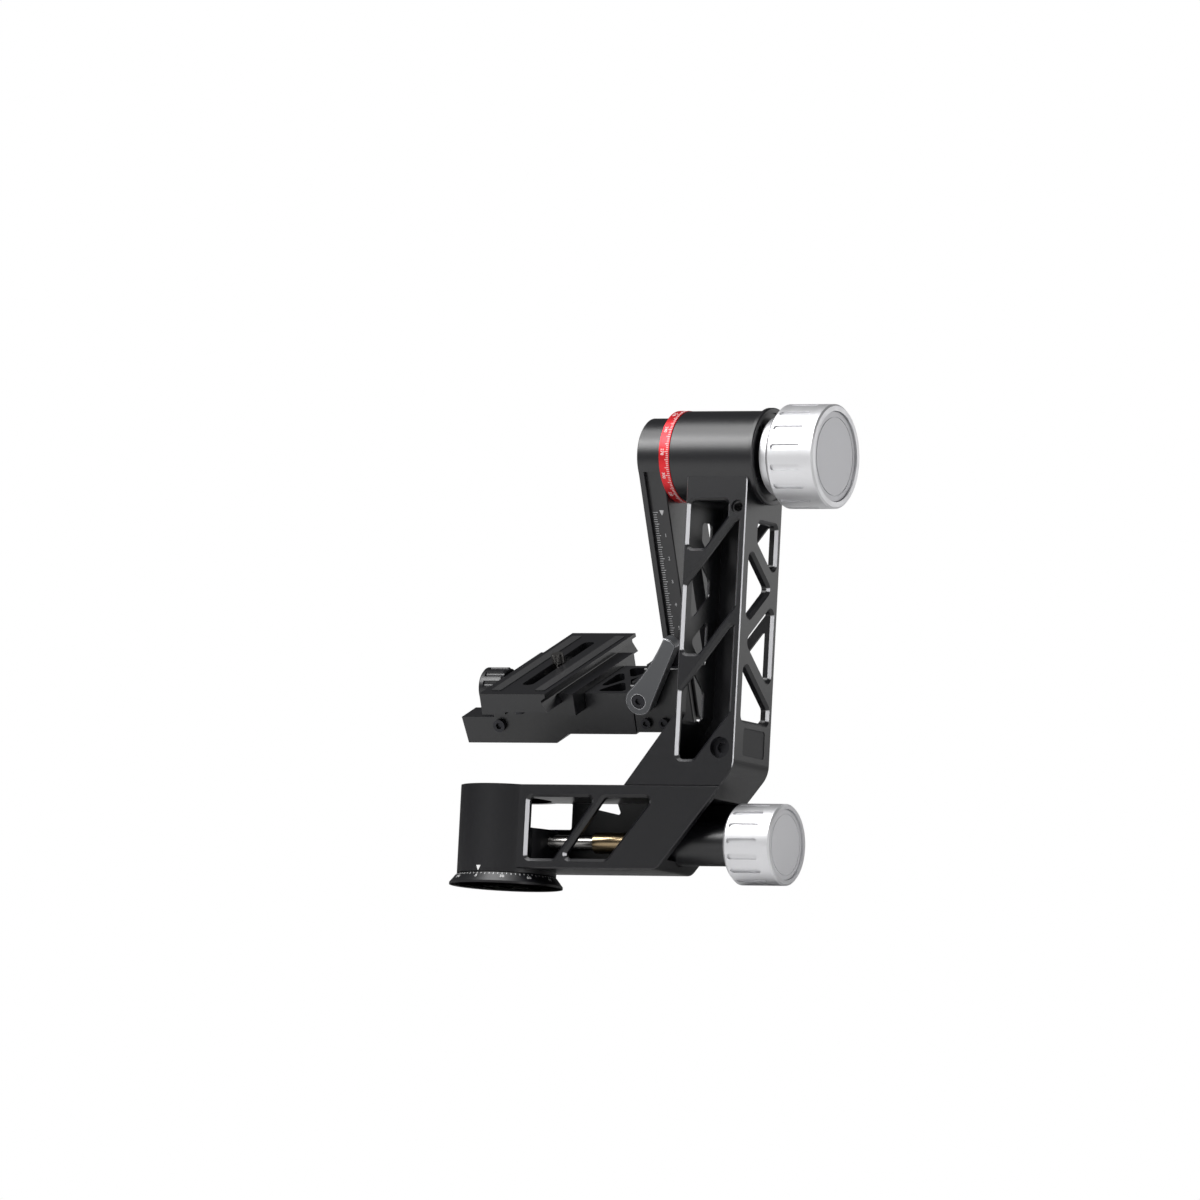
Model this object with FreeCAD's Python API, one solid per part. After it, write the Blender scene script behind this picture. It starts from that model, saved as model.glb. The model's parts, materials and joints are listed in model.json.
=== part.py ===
import FreeCAD
import Part
import math
import os

from FreeCAD import Placement, Rotation, Vector

# Gimbal head, in millimetres.
# The origin is the centre of the base's flat underside, on the pan axis.
# Z points up, X points along the horizontal arm towards the knobs,
# and Y points away from the side that the pan index faces.

# General fits
run_gap = 0.05
side_gap = 0.3
thread_gap = 0.1
edge = 0.5
corner_share = 0.45
smallest_corner = 0.05

# Base with its engraved ring, which stays still
base_radius = 30.0
base_top_radius = 26.3
base_height = 5.8
base_rim = 1.2
socket_radius = 3.97
insert_radius = 9.0
insert_head_radius = 12.0
insert_head_height = 2.0
insert_length = 9.0
base_screw_radius = 1.5
base_screw_head_radius = 2.75
base_screw_head_height = 2.0
base_screw_count = 3
base_screw_circle = 15.5
base_screw_turn = 30.0
screw_turn = 45.0

# Pan shaft and its bearings
shaft_radius = 10.0
shaft_flange_radius = 19.0
shaft_flange_height = 3.2
shaft_collar_radius = 11.6
pan_race_outer = 16.0
pan_race_width = 4.4
race_wall = 1.7
ball_radius = 1.75
pan_ball_count = 14
lower_bearing_lift = 1.2
bearing_spacing = 4.7
drum_radius = 14.0
drum_height = 9.3
drum_relief = 0.35
drum_relief_radius = 12.0
drum_slot = 3.0
drum_slot_depth = 2.0
drum_slots = 4

# Pan arm: the hub and the hollow lattice beam that leaves it
hub_radius = 26.2
hub_gap = 0.5
arm_top = 52.6
arm_half_depth = 20.5
arm_wall = 4.0
arm_lower_wall = 5.3
arm_upper_wall = 6.5
arm_floor = 8.4
arm_end_low = 99.5
arm_slope = 51.3
bay_start = 22.0
bay_strut_at = 52.2
bay_strut_slope = 54.4
bay_strut_width = 4.6
bay_flare = 1.6
arm_end_round = 5.0
bay_end_at = 82.4
arm_corner = 2.2
back_bay_left = -3.0
back_bay_right = 28.5
back_bay_low = 32.0
back_bay_depth = 12.0
back_slit_left = 40.0
back_slit_right = 57.9
back_slit_top_right = 55.3
back_slit_left_low = 43.4
back_slit_right_low = 39.8
hub_cap_radius = 23.5
hub_cap_height = 2.2
hub_floor = 30.2
hub_wall = 4.2
hub_land = 1.4

# Pan lock that runs through the beam
lock_height = 23.7
spindle_radius = 4.0
guide_radius = 5.6
guide_start = 53.0
bulkhead_thickness = 5.0
bulkhead_offset = 3.0
neck_radius = 11.6
neck_spigot_radius = 8.0
neck_end_gap = 1.5
shoe_travel = 1.0
shoe_length = 8.0

# Upright arm
upright_left = 106.5
upright_width = 35.5
upright_wall = 3.0
upright_inner_wall = 2.2
upright_outer_wall = 4.4
upright_strut_slope = 51.8
upright_strut_width = 4.8
upright_strut_pitch = 55.4
upright_strut_first = 70.7
window_drop = 4.2
window_rise = 10.4
top_window_top = 202.5
top_window_right = 131.0
window_corner = 2.8
window_flare = 1.5
back_window_left = 121.0
foot_left = 77.9
foot_top = 91.0
foot_round = 16.0
foot_wall = 8.5
side_window_near = 7.2
top_side_window_near = 15.8
side_window_far = 4.5
inner_side_window_far = 14.0
side_strut_width = 9.0
side_window_low = 88.0
side_window_high = 192.5
side_node_first = 188.0
side_node_pitch = 29.5
accessory_radius = 2.55
accessory_sink_radius = 3.7
accessory_sink = 1.0
accessory_height = 199.0
accessory_inset = 5.0
bolt_sink_radius = 5.6
bolt_sink_depth = 6.0
side_bolt_head_height = 3.0
side_bolt_height = 72.7
side_bolt_inset = 8.4
side_bolt_radius = 2.0
side_bolt_length = 6.0
label_depth = 0.8
label_width = 24.0
label_height = 14.5
label_middle = 76.6
label_offset = 1.5
label_corner = 1.6
label_gap = 0.1
label_thickness = 0.5

# Bolts through the seam between the two arms
seam_bolt_radius = 2.5
seam_bolt_head_radius = 4.25
seam_bolt_head_height = 4.0
seam_bolt_first = 97.0
seam_bolt_spacing = 24.0
seam_bolt_half_row = 10.5

# Tilt housing on top of the upright arm
tilt_height = 227.5
housing_radius = 24.0
housing_overhang = 9.5
housing_length = 47.0
axle_radius = 12.5
axle_shoulder_radius = 13.35
tilt_race_outer = 18.5
tilt_race_width = 7.0
tilt_ball_count = 16
tilt_race_inset = 2.0
end_cap_radius = 25.6
end_cap_rim = 2.4
end_cap_spigot = 3.0
end_cap_bore = 13.4
end_cap_recess_radius = 23.0
end_cap_recess = 1.2
end_screw_count = 4
end_screw_circle = 20.4
end_screw_radius = 1.25
end_screw_head_radius = 2.25
end_screw_head_height = 1.0

# Swing arm that hangs from the tilt axle
swing_angle = 23.5
swing_left = 75.6
swing_thickness = 15.0
swing_head_radius = 20.3
swing_half_width = 20.0
swing_length = 140.0
swing_foot_corner = 6.0
channel_width = 8.6
channel_depth = 2.0
channel_top = 2.0
channel_end_gap = 6.0
scale_ring_radius = 24.2
scale_ring_gap = 0.35
slot_half_width = 6.0
slot_margin = 20.0
slot_top = 38.0
head_cover_radius = 13.5
head_cover_thickness = 2.0
axle_bolt_radius = 2.0
axle_bolt_head_radius = 3.5
axle_bolt_head_height = 4.0
axle_bolt_circle = 7.4
axle_bolt_count = 4
axle_bolt_length = 16.0

# Silver knobs
tilt_knob_radius = 27.4
tilt_knob_length = 28.0
pan_knob_radius = 21.4
pan_knob_length = 27.5
pan_knob_start = 138.0
flute_count = 16
tilt_flute_width = 3.3
pan_flute_width = 2.9
tilt_flute_turn = -4.1
pan_flute_turn = 0.0
flute_length = 17.6
flute_start = 2.8
flute_depth = 1.1
knob_back_chamfer = 1.6
knob_front_chamfer = 0.9
knob_face_share = 0.87
knob_face_sink = 1.0
knob_cap_thickness = 2.4
knob_cap_gap = 0.15
cap_ring_share = 0.76
cap_ring_width = 0.5
cap_ring_depth = 0.3
knob_hollow_wall = 5.0
knob_hollow_floor = 11.0
knob_bush_radius = 9.0
tilt_spindle_radius = 5.0
bush_head_radius = 11.5
bush_head_thickness = 2.0
bush_gap = 0.6

# Drag collar between the tilt knob and the housing
collar_radius = 20.6
collar_thickness = 5.0
collar_travel = 1.0
washer_radius = 22.2
washer_thickness = 1.6

# Height carriage, in the swing arm's own directions
carriage_inner = 54.0
carriage_half_width = 24.0
carriage_below_foot = 5.4
carriage_beam_height = 14.1
beam_shoulder = 8.5
slider_rise = 14.0
slider_gap = 0.3
cheek_margin = 1.8
cheek_start = 64.0
cheek_rise = 23.3
carriage_fall = 7.5
pad_left = -47.5
pad_right = 5.8
pad_drop = 5.1
pad_slant = 8.0
pad_lean = 2.0
pad_shelf_rise = 9.2
pocket_wall = 4.0
pocket_floor = 5.0
pocket_rib = 3.0
jaw_thickness = 3.4
jaw_travel = 0.4
jaw_end_gap = 1.0
guide_screw_radius = 1.5
guide_screw_head_radius = 2.8
guide_screw_head_height = 2.0
guide_screw_length = 12.0
guide_screw_first = 61.5
guide_screw_spacing = 10.5
guide_screw_rise = 6.4
clamp_half_length = 36.0
clamp_left = -30.0
clamp_right = 26.0
clamp_base_height = 7.0
clamp_split = -13.0
clamp_jaw_gap = 3.2
dovetail_mouth = 16.4
dovetail_root = 19.0
dovetail_height = 5.0
side_screw_at = -26.6
side_screw_rise = 4.9
side_screw_radius = 2.0
side_screw_head_radius = 3.4
side_screw_head_height = 2.4
side_screw_length = 12.0

# Grey height lever
lever_pivot_x = 63.3
lever_pivot_rise = 21.2
lever_reach = 40.0
lever_slope = 54.0
lever_hub_radius = 7.6
lever_tip_radius = 4.0
lever_tip_bulge = 1.2
lever_shoulder = 75.0
lever_waist = 4.2
lever_thickness = 7.0
lever_gap = 2.7
lever_spacer_gap = 0.5
lever_spacer_radius = 5.5
lever_bore_radius = 4.0
lever_screw_head_radius = 3.6
lever_screw_head_height = 2.2
lever_stud_radius = 3.0
lever_stud_length = 18.0

# Clamp for the plate
clamp_spindle_radius = 3.0
clamp_knob_radius = 11.0
clamp_knob_length = 14.0
clamp_knob_flutes = 12
clamp_knob_flute_radius = 2.0
clamp_knob_face = 3.0
clamp_knob_gap = 1.0
clamp_pin_radius = 2.5
clamp_pin_spacing = 44.0
clamp_pin_inset = 4.0
clamp_bolt_radius = 2.0
clamp_bolt_head_radius = 3.5
clamp_bolt_head_height = 3.0
clamp_bolt_spacing_x = 22.0
clamp_bolt_spacing_y = 26.0
clamp_bolt_middle = 2.0
clamp_bolt_length = 14.0

# Quick release plate
plate_half_length = 53.5
plate_half_width = 19.0
plate_thickness = 10.0
plate_gap = 0.3
plate_slot_width = 6.8
plate_slot_margin = 16.0
plate_slot_sink_width = 14.0
plate_slot_sink_depth = 5.0
plate_slot_sink_end = 3.0
plate_groove_start = 1.5
plate_groove_end = 3.0
pad_strip_width = 6.0
pad_strip_thickness = 1.2
pad_strip_sink = 0.8
pad_strip_margin = 6.0
pad_strip_corner = 1.0
plate_screw_radius = 3.175
plate_screw_head_radius = 6.4
plate_screw_head_height = 3.0
plate_screw_proud = 5.5
plate_screw_thread_rise = 0.6
plate_screw_relief = 0.4
plate_screw_slot = 1.6
plate_screw_slot_depth = 1.2
plate_stop_radius = 1.5
plate_stop_head_radius = 2.6
plate_stop_head_height = 2.0
plate_stop_inset = 5.0
plate_stop_length = 6.0
hex_share = 0.55
hex_depth_share = 0.6


# Small builders for solids and outlines
def disc(start, end, radius, axis="x", at=(0.0, 0.0)):
    """A cylinder along one axis, from start to end, centred at two other coordinates."""
    a, b = at
    places = {"x": Vector(start, a, b), "y": Vector(a, start, b), "z": Vector(a, b, start)}
    ways = {"x": Vector(1, 0, 0), "y": Vector(0, 1, 0), "z": Vector(0, 0, 1)}
    return Part.makeCylinder(radius, end - start, places[axis], ways[axis])


def ring(start, end, outer, inner, axis="x", at=(0.0, 0.0)):
    """A tube along one axis."""
    return disc(start, end, outer, axis, at).cut(disc(start - 1, end + 1, inner, axis, at))


def cone(start, end, start_radius, end_radius, axis="x", at=(0.0, 0.0)):
    """A cone frustum along one axis."""
    a, b = at
    places = {"x": Vector(start, a, b), "z": Vector(a, b, start)}
    ways = {"x": Vector(1, 0, 0), "z": Vector(0, 0, 1)}
    return Part.makeCone(start_radius, end_radius, end - start, places[axis], ways[axis])


def block(x0, x1, y0, y1, z0, z1):
    """A box between two corners."""
    return Part.makeBox(x1 - x0, y1 - y0, z1 - z0, Vector(x0, y0, z0))


def clip(points, start, end, gap=0.0):
    """The part of a convex outline that lies left of the line from start to end, a gap away."""
    length = math.hypot(end[0] - start[0], end[1] - start[1])
    along = ((end[0] - start[0]) / length, (end[1] - start[1]) / length)

    def side(point):
        return along[0] * (point[1] - start[1]) - along[1] * (point[0] - start[0]) - gap

    kept = []
    for here, after in zip(points, points[1:] + points[:1]):
        now, then = side(here), side(after)
        if now >= 0:
            kept.append(here)
        if now * then < 0:
            share = now / (now - then)
            kept.append(tuple(a + share * (b - a) for a, b in zip(here, after)))
    return kept


def sloped(at, slope):
    """Two points of a line through a point at a slope in degrees."""
    angle = math.radians(slope)
    return at, (at[0] + math.cos(angle), at[1] + math.sin(angle))


def wire(points, radius, place):
    """A closed wire through plane points, with each corner rounded as far as its sides allow."""
    count = len(points)
    radii = radius if isinstance(radius, list) else [radius] * count
    corners = []
    for i in range(count):
        before, here, after = (Vector(*points[j % count], 0) for j in (i - 1, i, i + 1))
        back, on = before - here, after - here
        shorter = min(back.Length, on.Length)
        back.normalize()
        on.normalize()
        half = back.getAngle(on) / 2
        reach = min(radii[i] / math.tan(half), corner_share * shorter)
        size = reach * math.tan(half)
        if size < smallest_corner:
            corners.append((here, None, here))
            continue
        middle = (back + on).normalize()
        crown = here + middle * (size / math.sin(half) - size)
        corners.append((here + back * reach, crown, here + on * reach))
    edges = []
    for i in range(count):
        first, crown, last = corners[i]
        following = corners[(i + 1) % count][0]
        if crown is not None:
            edges.append(Part.Arc(place(first), place(crown), place(last)).toShape())
        if (following - last).Length > 1e-6:
            edges.append(Part.LineSegment(place(last), place(following)).toShape())
    return Part.Wire(edges)


def level(axis, value):
    """Puts a plane point at a level of one axis; its own pair is XZ, YZ or XY."""
    places = {
        "y": lambda p: Vector(p.x, value, p.y),
        "x": lambda p: Vector(value, p.x, p.y),
        "z": lambda p: Vector(p.x, p.y, value),
    }
    return places[axis]


def prism(points, low, high, axis="y", radius=0.0):
    """An outline carried along one axis."""
    ways = {"y": Vector(0, high - low, 0), "x": Vector(high - low, 0, 0), "z": Vector(0, 0, high - low)}
    return Part.Face(wire(points, radius, level(axis, low))).extrude(ways[axis])


def grown(points, gap):
    """A convex outline with each side moved outwards by a gap."""
    count = len(points)
    area = sum(a[0] * b[1] - b[0] * a[1] for a, b in zip(points, points[1:] + points[:1]))
    way = math.copysign(gap, area)
    sides = []
    for (x0, y0), (x1, y1) in zip(points, points[1:] + points[:1]):
        length = math.hypot(x1 - x0, y1 - y0)
        across = ((y1 - y0) / length, (x0 - x1) / length)
        sides.append((across, across[0] * x0 + across[1] * y0 + way))
    made = []
    for i in range(count):
        (a, b), c = sides[i - 1]
        (d, e), f = sides[i]
        cross = a * e - b * d
        made.append(((c * e - b * f) / cross, (a * f - c * d) / cross))
    return made


def wall_cutters(outlines, face, way, depth, axis, radius, flare):
    """Cutters for windows through a wall: straight prisms with a flare that slopes the outer edge."""
    cutters = []
    for outline in outlines:
        near, far = sorted((face - way * depth, face + way * 2 * flare))
        cutters.append(prism(outline, near, far, axis, radius))
        inner = wire(outline, radius, level(axis, face - way * flare))
        outer = wire(grown(outline, 2 * flare), radius + 2 * flare, level(axis, face + way * flare))
        cutters.append(Part.makeLoft([inner, outer], True, True))
    return cutters


def joined(shapes):
    """One solid from shapes that overlap or touch."""
    first, *rest = shapes
    return first.fuse(rest).removeSplitter() if rest else first


def group(shapes):
    """Separate solids kept together as one node."""
    return Part.makeCompound(shapes)


def around(count, radius, first=0.0):
    """Points spread evenly on a circle."""
    turns = (math.radians(first + 360.0 * i / count) for i in range(count))
    return [(radius * math.cos(t), radius * math.sin(t)) for t in turns]


def outer_edges(shape, plane, value):
    """The edges that lie wholly in one plane."""
    found = []
    for e in shape.Edges:
        box = e.BoundBox
        low, high = getattr(box, plane + "Min"), getattr(box, plane + "Max")
        if abs(low - value) < 1e-4 and abs(high - value) < 1e-4:
            found.append(e)
    return found


def eased(shape, plane, values, size):
    """Chamfers every edge that lies in the given planes."""
    for value in values:
        shape = shape.makeChamfer(size, outer_edges(shape, plane, value))
    return shape


def tilted(shape):
    """Turns a piece from the swing arm's own directions to its place under the tilt axis."""
    turned = shape.copy()
    turn = Placement(Vector(0, 0, tilt_height), Rotation(Vector(1, 0, 0), swing_angle))
    turned.Placement = turn.multiply(shape.Placement)
    return turned


def cap_screw(radius, length, head_radius, head_height, sides=6):
    """A socket screw on Z, its head's underside at zero and its thread below."""
    body = joined([disc(-length, 0, radius, "z"), disc(0, head_height, head_radius, "z")])
    key = hex_share * head_radius
    deep = hex_depth_share * head_height
    return body.cut(prism(around(sides, key), head_height - deep, head_height + 1, "z"))


def placed(shape, at, way):
    """Moves a piece built on Z to a point, with its Z along a direction."""
    moved = shape.copy()
    moved.Placement = Placement(at, Rotation(Vector(0, 0, 1), way))
    return moved


def save(name, shape):
    """Writes one node."""
    shape.exportStep("parts/" + name + ".step")


# Heights and places that several pieces share
hub_low = base_height + hub_gap
flange_top = base_height + shaft_flange_height
lower_race_low = flange_top + lower_bearing_lift
upper_race_low = lower_race_low + bearing_spacing
drum_low = upper_race_low + pan_race_width
drum_top = drum_low + drum_height
cap_low = arm_top - hub_cap_height
upright_right = upright_left + upright_width
housing_start = upright_left - housing_overhang
housing_end = housing_start + housing_length
arm_end_high = arm_end_low + (arm_top - arm_floor) / math.tan(math.radians(arm_slope))
bay_middle = (arm_floor + arm_lower_wall + arm_top - arm_upper_wall) / 2
bulkhead_start = bay_end_at + (arm_top - arm_upper_wall - bay_middle) / math.tan(math.radians(arm_slope))
bulkhead_start += bulkhead_offset - bulkhead_thickness
bulkhead_end = bulkhead_start + bulkhead_thickness
swing_right = swing_left + swing_thickness
collar_start = housing_end + end_cap_rim + side_gap + collar_travel
washer_start = collar_start + collar_thickness
shoe_start = drum_radius + shoe_travel
spindle_start = shoe_start + shoe_length
tilt_knob_start = washer_start + washer_thickness + bush_gap
channel_middle = (swing_left + swing_right) / 2
channel_floor = swing_half_width - channel_depth
lip_left = channel_middle - channel_width / 2 + slider_gap
lip_right = channel_middle + channel_width / 2 - slider_gap
slider_end = swing_left - slider_gap
cheek_end = channel_middle + channel_width / 2 + cheek_margin
jaw_back = carriage_half_width - jaw_thickness
lever_far = -carriage_half_width - lever_gap
lever_near = lever_far - lever_thickness
carriage_low = swing_length + carriage_below_foot
pad_shelf = carriage_low - pad_shelf_rise
guide_screw_drop = carriage_low - guide_screw_rise
side_screw_drop = carriage_low - side_screw_rise
lever_pivot_drop = carriage_low - lever_pivot_rise
lever_place = (lever_pivot_x, -lever_pivot_drop)
side_screw_place = (side_screw_at, -side_screw_drop)
clamp_floor = -(carriage_low - carriage_beam_height)
slider_top = clamp_floor + slider_rise
cheek_top = clamp_floor + cheek_rise
lip_low = carriage_fall + channel_end_gap - swing_length
clamp_top = clamp_floor + clamp_base_height
plate_low = clamp_top + plate_gap
plate_top = plate_low + plate_thickness


# Ball bearings
def race_pair(start, width, inner, outer, axis, at):
    """The inner and outer race of a ball bearing, each with its round groove."""
    middle = start + width / 2
    pitch = (inner + outer) / 2
    groove_radius = ball_radius + run_gap
    where = {"x": Vector(middle, *at), "z": Vector(*at, middle)}[axis]
    way = {"x": Vector(1, 0, 0), "z": Vector(0, 0, 1)}[axis]
    groove = Part.makeTorus(pitch, groove_radius, where, way)
    inner_race = ring(start, start + width, inner + race_wall, inner, axis, at).cut(groove)
    outer_race = ring(start, start + width, outer, outer - race_wall, axis, at).cut(groove)
    return inner_race, outer_race


def ball_circle(start, width, inner, outer, count, axis, at):
    """The balls of one bearing."""
    middle = start + width / 2
    balls = []
    for a, b in around(count, (inner + outer) / 2):
        a, b = at[0] + a, at[1] + b
        centre = {"x": Vector(middle, a, b), "z": Vector(a, b, middle)}[axis]
        balls.append(Part.makeSphere(ball_radius, centre))
    return balls


# Base and pan shaft
def base_ring():
    rim = disc(0, base_rim, base_radius, "z")
    flank = cone(base_rim, base_height, base_radius, base_top_radius, "z")
    body = joined([rim, flank])
    body = body.cut(disc(-1, base_height + 1, insert_radius, "z"))
    body = body.cut(disc(-1, insert_head_height, insert_head_radius, "z"))
    for x, y in around(base_screw_count, base_screw_circle, base_screw_turn):
        body = body.cut(disc(-1, base_height + 1, base_screw_radius + thread_gap, "z", (x, y)))
        seat = base_screw_head_height + side_gap
        body = body.cut(disc(-1, seat, base_screw_head_radius + thread_gap, "z", (x, y)))
    return body


def thread_insert():
    head = disc(0, insert_head_height, insert_head_radius, "z")
    body = joined([head, disc(0, insert_length, insert_radius, "z")])
    return body.cut(disc(-1, insert_length + 1, socket_radius, "z"))


def base_screws():
    made = []
    for x, y in around(base_screw_count, base_screw_circle, base_screw_turn):
        screw = cap_screw(base_screw_radius, base_height, base_screw_head_radius, base_screw_head_height)
        made.append(placed(screw, Vector(x, y, base_screw_head_height + side_gap), Vector(0, 0, -1)))
    return group(made)


def pan_shaft():
    flange = disc(base_height, flange_top, shaft_flange_radius, "z")
    collar = disc(flange_top, lower_race_low, shaft_collar_radius, "z")
    post = disc(flange_top, drum_top, shaft_radius, "z")
    body = joined([flange, collar, post])
    body = body.cut(disc(base_height - 1, insert_length, insert_radius, "z"))
    screw_top = base_screw_head_height + side_gap + base_height
    for x, y in around(base_screw_count, base_screw_circle, base_screw_turn):
        body = body.cut(disc(base_height - 1, screw_top, base_screw_radius, "z", (x, y)))
    return body


def brake_drum():
    """The slotted drum on the shaft's thread, which holds the bearings and takes the brake."""
    relief = disc(drum_low, drum_low + drum_relief, drum_relief_radius, "z")
    body = joined([relief, disc(drum_low + drum_relief, drum_top, drum_radius, "z")])
    body = body.cut(disc(drum_low - 1, drum_top + 1, shaft_radius, "z"))
    half = drum_slot / 2
    for i in range(drum_slots):
        slot = block(shaft_radius + 1, drum_radius + 1, -half, half, drum_top - drum_slot_depth, drum_top + 1)
        slot.rotate(Vector(0, 0, 0), Vector(0, 0, 1), screw_turn + 360.0 * i / drum_slots)
        body = body.cut(slot)
    return body


def pan_bearings():
    """Inner races, outer races and balls of the two pan bearings."""
    inner, outer, balls = [], [], []
    for low in (lower_race_low, upper_race_low):
        a, b = race_pair(low, pan_race_width, shaft_radius, pan_race_outer, "z", (0.0, 0.0))
        inner.append(a)
        outer.append(b)
        count = pan_ball_count
        balls += ball_circle(low, pan_race_width, shaft_radius, pan_race_outer, count, "z", (0.0, 0.0))
    return group(inner), group(outer), group(balls)


# Pan arm
def arm_windows():
    """The two bays of the lattice, either side of the slanted strut."""
    low, high = arm_floor + arm_lower_wall, arm_top - arm_upper_wall
    panel = [(bay_start, low), (arm_end_high, low), (arm_end_high, high), (bay_start, high)]
    strut_from, strut_to = sloped((bay_strut_at, bay_middle), bay_strut_slope)
    end_from, end_to = sloped((bay_end_at, bay_middle), arm_slope)
    half = bay_strut_width / 2
    first = clip(panel, strut_from, strut_to, half)
    second = clip(panel, strut_to, strut_from, half)
    return [first, clip(second, end_from, end_to)]


def back_bay():
    """The opening at the back, which reaches round into the hub."""
    return [(back_bay_left, back_bay_low), (back_bay_right, back_bay_low),
            (back_bay_right, arm_top - arm_upper_wall), (back_bay_left, arm_top - arm_upper_wall)]


def back_slit():
    """The slim slanted opening at the back, beside the bay."""
    high = arm_top - arm_upper_wall
    return [(back_slit_left, back_slit_left_low), (back_slit_right, back_slit_right_low),
            (back_slit_top_right, high), (back_slit_left, high)]


def pan_arm():
    outline = [(0.0, arm_floor), (arm_end_low, arm_floor), (arm_end_high, arm_top), (0.0, arm_top)]
    beam = prism(outline, -arm_half_depth, arm_half_depth, radius=[0.0, arm_end_round, 0.0, 0.0])
    beam = eased(beam, "Y", (-arm_half_depth, arm_half_depth), edge)
    low, high = arm_floor + arm_lower_wall, arm_top - arm_upper_wall
    inside = arm_half_depth - arm_wall
    body = joined([beam, disc(hub_low, arm_top, hub_radius, "z")])
    body = body.cut([
        block(0, bulkhead_start, -inside, inside, hub_floor, high),
        block(bay_start, bulkhead_start, -inside, inside, low, high),
        block(bulkhead_end, arm_end_high + 1, -inside, inside, low, high),
    ])
    bays = wall_cutters(arm_windows(), -arm_half_depth, -1, arm_wall + 1, "y", arm_corner, bay_flare)
    body = body.cut(bays)
    for outline in (back_bay(), back_slit()):
        body = body.cut(prism(outline, back_bay_depth, hub_radius + 1, radius=arm_corner / 2))
    body = body.fuse(disc(hub_low, hub_floor, hub_radius, "z")).removeSplitter()
    body = body.cut([
        disc(hub_low - 1, flange_top + side_gap, shaft_flange_radius + side_gap, "z"),
        disc(flange_top, lower_race_low, pan_race_outer - hub_land, "z"),
        disc(lower_race_low, hub_floor + 1, pan_race_outer, "z"),
        disc(hub_floor, cap_low, hub_radius - hub_wall, "z"),
        disc(cap_low, arm_top + 1, hub_cap_radius, "z"),
        disc(shaft_radius, bay_start + hub_wall + 1, spindle_radius + run_gap, "x", (0.0, lock_height)),
        disc(bulkhead_start - 1, bulkhead_end + 1, neck_spigot_radius, "x", (0.0, lock_height)),
        disc(bulkhead_end, arm_end_high + 1, neck_radius + side_gap, "x", (0.0, lock_height)),
    ])
    for x, y in seam_bolt_places():
        body = body.cut(disc(arm_top - arm_upper_wall - 1, arm_top + 1, seam_bolt_radius, "z", (x, y)))
    return body


def hub_cap():
    body = disc(cap_low, arm_top, hub_cap_radius, "z")
    return eased(body, "Z", (arm_top,), edge)


# Pan lock
def lock_neck():
    at = (0.0, lock_height)
    spigot = disc(bulkhead_start, bulkhead_end, neck_spigot_radius, "x", at)
    tube = disc(bulkhead_end, pan_knob_start - neck_end_gap, neck_radius, "x", at)
    body = joined([spigot, tube])
    return body.cut(disc(bulkhead_start - 1, pan_knob_start, guide_radius, "x", at))


def lock_guide():
    end = pan_knob_start - neck_end_gap
    return ring(guide_start, end, guide_radius, spindle_radius + run_gap, "x", (0.0, lock_height))


def brake_shoe():
    body = disc(0, spindle_start, spindle_radius, "x", (0.0, lock_height))
    return body.cut(disc(hub_low, arm_top, shoe_start, "z"))


def lock_spindle():
    end = pan_knob_start + knob_hollow_floor
    return disc(spindle_start + run_gap, end, spindle_radius, "x", (0.0, lock_height))


# Upright arm
def upright_windows(left=upright_left + upright_inner_wall):
    """The slanted bays of one wall, lowest first; each is a panel cut by the struts above and below it."""
    right = upright_right - upright_outer_wall
    middle = (upright_left + upright_right) / 2
    levels = [upright_strut_first + i * upright_strut_pitch for i in range(3)]
    half = upright_strut_width / 2
    made = []
    for i, height in enumerate(levels):
        last = i == len(levels) - 1
        top = top_window_top if last else levels[i + 1] + window_rise
        end = top_window_right if last else right
        low = height - window_drop
        panel = [(left, low), (end, low), (end, top), (left, top)]
        start, to = sloped((middle, height), upright_strut_slope)
        panel = clip(panel, start, to, half)
        if not last:
            start, to = sloped((middle, levels[i + 1]), upright_strut_slope)
            panel = clip(panel, to, start, half)
        made.append(panel)
    return made


def side_windows(far_margin):
    """The triangular bays of the zigzag in a side wall, highest first."""
    near, far = side_window_near - arm_half_depth, arm_half_depth - far_margin
    node = arm_half_depth - upright_wall / 2
    low, high = side_window_low, side_window_high
    panel = [(near, low), (far, low), (far, high), (near, high)]
    nodes = [((-1) ** (i + 1) * node, side_node_first - i * side_node_pitch) for i in range(4)]
    half = side_strut_width / 2
    top_near = top_side_window_near - arm_half_depth
    first = clip(clip(panel, nodes[0], nodes[1], half), (top_near, high), (top_near, low))
    second = clip(clip(panel, nodes[1], nodes[0], half), nodes[2], nodes[1], half)
    third = clip(clip(panel, nodes[1], nodes[2], half), nodes[2], nodes[3], half)
    fourth = clip(panel, nodes[3], nodes[2], half)
    return [first, second, third, fourth]


def upright_outline():
    """The upright's side outline: its foot, its curved heel and its straight post."""
    rise = (upright_right - arm_end_high) * math.tan(math.radians(arm_slope))
    top = tilt_height - housing_radius / 2
    return [
        (foot_left, arm_top),
        (arm_end_high, arm_top),
        (upright_right, arm_top + rise),
        (upright_right, top),
        (upright_left, top),
        (upright_left, foot_top),
    ]


def upright_cavity():
    """The hollow inside the upright, which follows its outline."""
    left, right = upright_left + upright_inner_wall, upright_right - upright_outer_wall
    low = arm_top + foot_wall
    slope = (foot_top - arm_top) / (upright_left - foot_left)
    corner = foot_left + foot_wall + foot_wall / slope
    top = tilt_height - housing_radius
    room = right - (right - left) / 3
    outline = [(corner, low), (room, low), (right, side_window_low)]
    outline += [(right, top), (left, top), (left, foot_top)]
    inside = arm_half_depth - upright_wall
    return prism(outline, -inside, inside, radius=window_corner)


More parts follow.
